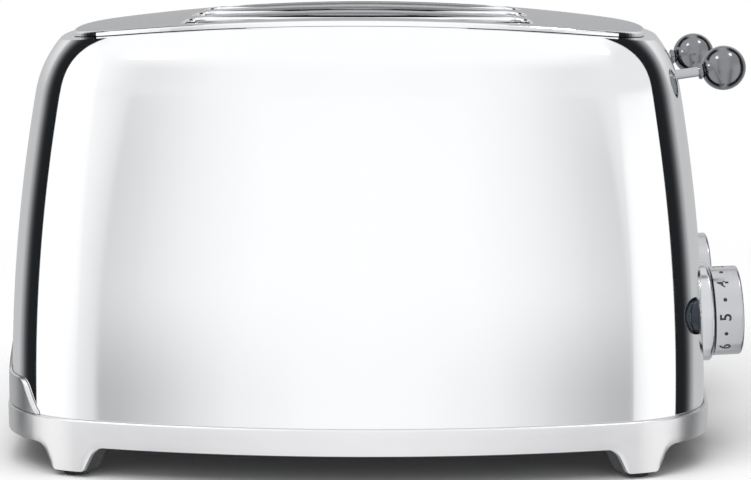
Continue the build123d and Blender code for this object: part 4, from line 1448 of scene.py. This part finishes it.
# Node, material and how it was made, colour, metal, roughness, and the size of its grain.
NODE_FINISHES = (
    # Moulded plastic with a fine eroded texture: soft black with no clear reflection.
    ("base_moulding", "moulded_black_abs", "#15181A", 0.0, 0.5, 1.2),
    # Moulded rubber, dusty and almost without gloss.
    ("foot_pad", "moulded_rubber", "#101010", 0.0, 0.75, 2.0),
    # Galvanised sheet: a grey metal with cloudy crystals.
    ("end_plate", "galvanised_sheet", "#B9BBBD", 1.0, 0.3, 7.0),
    # Rolled bright aluminium that throws the heater's light back.
    ("reflector", "rolled_aluminium", "#C8CACC", 1.0, 0.18, 14.0),
    # Pressed mica: flaky and tan.
    ("heater", "pressed_mica", "#8A7350", 0.0, 0.5, 4.0),
    # Drawn wire, nickel plated: thin bright lines in the slots.
    ("bread_guides", "drawn_nickel_wire", "#B4B6B8", 1.0, 0.25, 3.0),
    # Pressed strip for the racks and carriages: plain grey steel, a little oily.
    ("bread_rack", "pressed_rack_steel", "#A9ABAD", 1.0, 0.3, 9.0),
    ("carriage", "pressed_carriage_steel", "#A9ABAD", 1.0, 0.32, 9.0),
    # A ground rod, the brightest piece of the mechanism.
    ("guide_rod", "ground_rod_steel", "#C9CBCD", 1.0, 0.14, 2.0),
    # Hard drawn wire: darker than the rod beside it.
    ("return_spring", "drawn_spring_wire", "#8F9193", 1.0, 0.3, 1.0),
    # Enamelled copper wire, wound close: brown with a slight shine.
    ("electromagnet", "wound_copper_wire", "#8C4A22", 0.5, 0.4, 0.6),
    # Green lacquer over glass-fibre board.
    ("control_board", "lacquered_board", "#1E5A35", 0.0, 0.35, 5.0),
    # A moulded case: dark grey and half matt.
    ("browning_control", "moulded_control_case", "#26282B", 0.0, 0.45, 1.5),
    # Turned bar with fine tool marks.
    ("dial_spindle", "turned_spindle_steel", "#B5B7B9", 1.0, 0.25, 1.0),
    # Pressed sheet that years of crumbs leave dull.
    ("crumb_tray", "pressed_tray_steel", "#B4B6B8", 1.0, 0.35, 11.0),
    # Zinc plated heads: grey and slightly cloudy.
    ("base_screws", "zinc_plated_screw", "#A5A7A9", 1.0, 0.35, 1.0),
    # Moulded nylon: black with a waxy sheen.
    ("cable_gland", "moulded_black_nylon", "#17191B", 0.0, 0.45, 1.5),
)


def dress_nodes():
    """Gives the CAD nodes that stay in view the finishes of their real materials."""
    for start, finish, colour, metallic, rough, grain in NODE_FINISHES:
        spread = (rough * 0.8, min(rough * 1.2, 1))
        material = new_finish(finish, linear(colour), metallic, spread, grain * MM)[0]
        for name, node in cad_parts.items():
            if name.startswith(start):
                node.data.materials.clear()
                node.data.materials.append(material)


def build_studio():
    """The pale floor, the studio round the toaster, its lamps and the camera."""
    bpy.context.scene.view_settings.view_transform = "Standard"
    build_floor()
    studio_world()
    for name, place, width, power, mirrored in LAMPS:
        studio_lamp(name, place, width, power, mirrored)
    place_camera()


# Lamp, place and width in metres, power, and whether the metal mirrors it. The two small
# ones put a spark on the balls.
LAMPS = (
    ("key_lamp", (-0.5, -0.9, 1.7), 1.4, 14, False),
    ("top_lamp", (0.1, 0.2, 2.2), 1.8, 22, False),
    ("spark_lamp_1", (-0.84, -0.6, 1.7), 0.3, 2.2, True),
    ("spark_lamp_2", (0.9, -0.24, 1.76), 0.3, 2.2, True),
)


def build_floor():
    """A round sheet of studio paper that holds the toaster's shadow."""
    mesh = bpy.data.meshes.new("studio_floor")
    build = bmesh.new()
    bmesh.ops.create_circle(build, cap_ends=True, segments=128, radius=1.6)
    build.to_mesh(mesh)
    build.free()
    floor = bpy.data.objects.new("studio_floor", mesh)
    bpy.context.scene.collection.objects.link(floor)
    floor.location = (MIDDLE_X, 0, 0)
    mesh.materials.append(floor_paper())
    floor.visible_glossy = False


def floor_paper():
    """Pressed studio paper: matt and pale, and it fades to the white room at its edge. Its grey near
    the toaster, turning white further out, is a painted shadow round the base.
    """
    # The grey paper near the toaster, turning into the white room further out, is a painted shadow
    # that widens the real one.
    near, far = 0.24, 0.75
    material, shader, _, _ = new_finish(
        "studio_paper_painted_shadow", linear("#D6D6D6"), 0.0, (0.88, 0.92), 3 * MM)
    shader.inputs["Specular IOR Level"].default_value = 0.0
    tree = material.node_tree
    place = add_node(tree, "ShaderNodeTexCoord")
    length = add_node(
        tree, "ShaderNodeVectorMath", {0: place.outputs["Object"]}, operation="LENGTH")
    fade = add_node(
        tree, "ShaderNodeMapRange",
        {"Value": length, "From Min": near, "From Max": far, "To Min": 1.0, "To Max": 0.0})
    tree.links.new(result(fade), shader.inputs["Alpha"])
    return material


# The studio's tones from straight in front (0) to straight aside (1), for looks that go
# down, level and up. The soft box in front fades to grey at 0.61, where its white
# neighbour begins.
LOW_ROOM = (
    (0, "#F9F9FA"), (0.14, "#F7F7F8"), (0.31, "#EDEDEE"), (0.41, "#DCDCDD"), (0.47, "#CECECF"),
    (0.56, "#BABABB"), (0.604, "#B4B4B5"), (0.616, "#DADADB"), (0.64, "#E4E4E5"), (0.71, "#F1F1F1"),
    (0.83, "#FDFDFD"), (0.88, "#FFFFFF"),
)
LEVEL_ROOM = (
    (0, "#FCFCFD"), (0.26, "#FBFBFC"), (0.31, "#F8F8F9"), (0.375, "#F4F4F5"), (0.44, "#EEEEEF"),
    (0.5, "#E5E5E6"), (0.545, "#DCDCDD"), (0.605, "#D3D3D4"), (0.616, "#DFDFE0"), (0.643, "#ECECED"),
    (0.67, "#F5F5F5"), (0.71, "#FBFBFB"), (0.77, "#FFFFFF"),
)
HIGH_ROOM = (
    (0, "#FAFAFB"), (0.3, "#F8F8F9"), (0.42, "#F3F3F4"), (0.5, "#EBEBEC"), (0.56, "#E5E5E6"),
    (0.61, "#E2E2E3"), (0.65, "#E8E8E9"), (0.7, "#F6F6F6"), (0.76, "#FEFEFE"), (0.8, "#FFFFFF"),
)
# The dark flag behind each side, from its sharp near edge outwards.
FLAG_TONES = (
    (0, "#1C1E20"), (0.24, "#212325"), (0.31, "#38393B"), (0.375, "#5A5B5D"), (0.44, "#868789"),
    (0.53, "#ABACAD"), (0.62, "#BCBDBE"),
)


def studio_world():
    """White for the camera; for reflections a light studio with a dark flag on each side."""
    world = bpy.data.worlds.new("studio")
    bpy.context.scene.world = world
    world.use_nodes = True
    tree = world.node_tree
    tree.nodes.clear()
    place = add_node(tree, "ShaderNodeTexCoord")
    split = add_node(tree, "ShaderNodeSeparateXYZ", {"Vector": place.outputs["Generated"]})
    x, y, z = split.outputs
    aside = add_node(tree, "ShaderNodeMath", {0: x}, operation="ABSOLUTE")

    # The soft box's edge leans in towards the top, which the rise of a look makes up for.
    rise = add_node(tree, "ShaderNodeMath", {0: z, 1: z}, operation="MULTIPLY")
    lift = add_node(tree, "ShaderNodeMath", {0: rise, 1: 0.4, 2: 1.0}, operation="MULTIPLY_ADD")
    across = add_node(tree, "ShaderNodeMath", {0: aside, 1: lift}, operation="MULTIPLY")

    # Soft changes from 0 to 1 over a look's height and over its way to the right.
    change = {}
    for name, source, start, end in (
            ("to_level", z, -0.19, 0.0), ("to_high", z, 0.14, 0.42), ("to_top", z, 0.68, 0.9),
            ("to_grey", z, 0.0, 0.5), ("draw_back", z, 0.15, 0.8),
            ("to_right", x, 0.4, 0.62), ("right_rise", z, 0.16, 0.42)):
        change[name] = add_node(
            tree, "ShaderNodeMapRange", {"Value": source, "From Min": start, "From Max": end},
            interpolation_type="SMOOTHSTEP")

    # The flags start beside the object, the left one a little further back, and draw back
    # towards the top. into is how far behind its near edge a look meets a flag.
    drawn = add_node(
        tree, "ShaderNodeMath", {0: change["draw_back"], 1: -0.27, 2: y}, operation="MULTIPLY_ADD")
    leaned = add_node(tree, "ShaderNodeMath", {0: x, 1: 0.035, 2: drawn}, operation="MULTIPLY_ADD")
    into = add_node(tree, "ShaderNodeMath", {0: leaned, 1: 0.033}, operation="SUBTRACT")

    tones = []
    for factor, stops in (
            (across, LOW_ROOM), (across, LEVEL_ROOM), (across, HIGH_ROOM), (into, FLAG_TONES)):
        ramp = add_node(tree, "ShaderNodeValToRGB", {"Fac": factor})
        elements = ramp.color_ramp.elements
        while len(elements) < len(stops):
            elements.new(0.5)
        for element, (spot, colour) in zip(elements, stops):
            element.position = spot
            element.color = linear(colour)
        tones.append(ramp)
    low, level, high, flag = tones

    rightwards = add_node(
        tree, "ShaderNodeMath", {0: change["to_right"], 1: change["right_rise"]},
        operation="MULTIPLY")
    room = low
    for factor, tone in (
            (change["to_level"], level), (change["to_high"], high),
            (change["to_top"], linear("#FCFCFD")), (rightwards, linear("#E6E6E7"))):
        room = add_node(
            tree, "ShaderNodeMix", {"Factor": factor, "A": room, "B": tone}, data_type="RGBA")

    # Straight up and down there is no flag: it needs a look that goes well aside.
    square = add_node(tree, "ShaderNodeMath", {0: x, 1: x}, operation="MULTIPLY")
    sum_square = add_node(tree, "ShaderNodeMath", {0: square, 1: rise}, operation="ADD")
    width = add_node(tree, "ShaderNodeMath", {0: sum_square}, operation="SQRT")
    floor = add_node(tree, "ShaderNodeMath", {0: width, 1: 0.001}, operation="ADD")
    sideways = add_node(tree, "ShaderNodeMath", {0: aside, 1: floor}, operation="DIVIDE")
    for name, source, start, end in (
            ("flag_edge", into, -0.008, 0.008), ("flag_end", into, 0.5, 0.62),
            ("flag_depth", into, 0.3, 0.6), ("well_aside", sideways, 0.12, 0.4)):
        change[name] = add_node(
            tree, "ShaderNodeMapRange", {"Value": source, "From Min": start, "From Max": end},
            interpolation_type="SMOOTHSTEP")
    near = add_node(
        tree, "ShaderNodeMath", {0: change["well_aside"], 1: change["flag_depth"]},
        operation="MAXIMUM")
    seen = add_node(
        tree, "ShaderNodeMath", {0: change["flag_edge"], 1: near}, operation="MULTIPLY")
    behind = add_node(
        tree, "ShaderNodeMix",
        {"Factor": change["to_grey"], "A": linear("#BCBDBE"), "B": linear("#E6E6E7")},
        data_type="RGBA")
    dark = add_node(
        tree, "ShaderNodeMix", {"Factor": change["flag_end"], "A": flag, "B": behind},
        data_type="RGBA")
    shown = add_node(
        tree, "ShaderNodeMix", {"Factor": seen, "A": room, "B": dark}, data_type="RGBA")

    path = add_node(tree, "ShaderNodeLightPath")
    white = add_node(tree, "ShaderNodeBackground", {"Color": (1, 1, 1, 1), "Strength": 1.0})
    mirrored = add_node(tree, "ShaderNodeBackground", {"Color": shown, "Strength": 1.1})
    mixed = add_node(
        tree, "ShaderNodeMixShader",
        {"Fac": path.outputs["Is Camera Ray"], 1: mirrored, 2: white})
    add_node(tree, "ShaderNodeOutputWorld", {"Surface": mixed})


def studio_lamp(name, place, width, power, mirrored):
    """A soft round lamp aimed at the toaster."""
    lamp = bpy.data.lights.new(name, "AREA")
    lamp.shape, lamp.size, lamp.energy = "DISK", width, power
    thing = bpy.data.objects.new(name, lamp)
    bpy.context.scene.collection.objects.link(thing)
    thing.location = place
    aim = Vector((MIDDLE_X, 0, 0.1)) - Vector(place)
    thing.rotation_euler = aim.to_track_quat("-Z", "Y").to_euler()
    thing.visible_glossy = mirrored


def place_camera():
    """The camera in front of the long side, a little above it and to the right."""
    camera = bpy.data.cameras.new("camera")
    thing = bpy.data.objects.new("camera", camera)
    bpy.context.scene.collection.objects.link(thing)
    bpy.context.scene.camera = thing
    camera.sensor_width = 36.0
    camera.lens = 104.8
    thing.location = (MIDDLE_X + 0.025, -1.165, 0.2665)
    thing.rotation_euler = (math.radians(90 - 8.39), 0, math.radians(0.854))
    camera.clip_start, camera.clip_end = 0.05, 50


class TOASTER_OT_shell(bpy.types.Operator):
    """Builds the pressed body with its lever, dial and button openings"""

    bl_idname = "toaster.shell"
    bl_label = "Body Shell"

    def execute(self, context):
        build_shell()
        return {"FINISHED"}


class TOASTER_OT_deck(bpy.types.Operator):
    """Builds the crowned satin deck with its four slot openings"""

    bl_idname = "toaster.deck"
    bl_label = "Top Deck"

    def execute(self, context):
        build_deck()
        return {"FINISHED"}


class TOASTER_OT_slots(bpy.types.Operator):
    """Builds the folded lip and the heat-tinted collar of every bread slot"""

    bl_idname = "toaster.slots"
    bl_label = "Slot Lips"

    def execute(self, context):
        build_slot_frames()
        return {"FINISHED"}


class TOASTER_OT_ring(bpy.types.Operator):
    """Builds the ring under the body that is drawn down into four feet"""

    bl_idname = "toaster.ring"
    bl_label = "Base Ring"

    def execute(self, context):
        build_ring()
        return {"FINISHED"}


class TOASTER_OT_covers(bpy.types.Operator):
    """Builds the two bell-shaped fronts of the crumb trays"""

    bl_idname = "toaster.covers"
    bl_label = "Tray Covers"

    def execute(self, context):
        build_covers()
        return {"FINISHED"}


class TOASTER_OT_levers(bpy.types.Operator):
    """Builds the stem, collar and ball of both levers"""

    bl_idname = "toaster.levers"
    bl_label = "Levers"

    def execute(self, context):
        build_levers()
        return {"FINISHED"}


class TOASTER_OT_dials(bpy.types.Operator):
    """Builds both browning dials with their bezels and numbers"""

    bl_idname = "toaster.dials"
    bl_label = "Dials"

    def execute(self, context):
        build_dials()
        return {"FINISHED"}


class TOASTER_OT_buttons(bpy.types.Operator):
    """Builds the four push buttons with their trim rings and symbols"""

    bl_idname = "toaster.buttons"
    bl_label = "Push Buttons"

    def execute(self, context):
        build_buttons()
        return {"FINISHED"}


class TOASTER_OT_mechanism(bpy.types.Operator):
    """Gives the pieces inside and under the toaster their finishes"""

    bl_idname = "toaster.mechanism"
    bl_label = "Mechanism Finishes"

    def execute(self, context):
        dress_nodes()
        return {"FINISHED"}


class TOASTER_OT_studio(bpy.types.Operator):
    """Sets the pale floor, the studio's light and the camera"""

    bl_idname = "toaster.studio"
    bl_label = "Studio"

    def execute(self, context):
        build_studio()
        return {"FINISHED"}


PIECES = (
    TOASTER_OT_shell,
    TOASTER_OT_deck,
    TOASTER_OT_slots,
    TOASTER_OT_ring,
    TOASTER_OT_covers,
    TOASTER_OT_levers,
    TOASTER_OT_dials,
    TOASTER_OT_buttons,
    TOASTER_OT_mechanism,
    TOASTER_OT_studio,
)
SETTINGS = (
    (ToasterBodySizes, "toaster_body"),
    (ToasterDialSizes, "toaster_dial"),
    (ToasterButtonSizes, "toaster_buttons"),
    (ToasterBaseSizes, "toaster_base"),
    (ToasterColours, "toaster_colours"),
)


class TOASTER_PT_sidebar(bpy.types.Panel):
    """Lists the toaster's sizes and the operators that build its pieces"""

    bl_idname = "TOASTER_PT_sidebar"
    bl_label = "Four-Slice Toaster"
    bl_space_type = "VIEW_3D"
    bl_region_type = "UI"
    bl_category = "Toaster"

    def draw(self, context):
        for kind, place in SETTINGS:
            box = self.layout.box()
            for size in kind.__annotations__:
                box.prop(getattr(context.scene, place), size)
        for piece in PIECES:
            self.layout.operator(piece.bl_idname)


def register():
    """Registers the sizes, the operators and the panel."""
    for kind, place in SETTINGS:
        bpy.utils.register_class(kind)
        setattr(bpy.types.Scene, place, PointerProperty(type=kind))
    for kind in (*PIECES, TOASTER_PT_sidebar):
        bpy.utils.register_class(kind)


def unregister():
    """Takes them back in the opposite order."""
    for kind in (TOASTER_PT_sidebar, *reversed(PIECES)):
        bpy.utils.unregister_class(kind)
    for kind, place in reversed(SETTINGS):
        delattr(bpy.types.Scene, place)
        bpy.utils.unregister_class(kind)


def main():
    register()
    for piece in PIECES:
        area, name = piece.bl_idname.split(".")
        getattr(getattr(bpy.ops, area), name)()


if __name__ == "__main__":
    main()
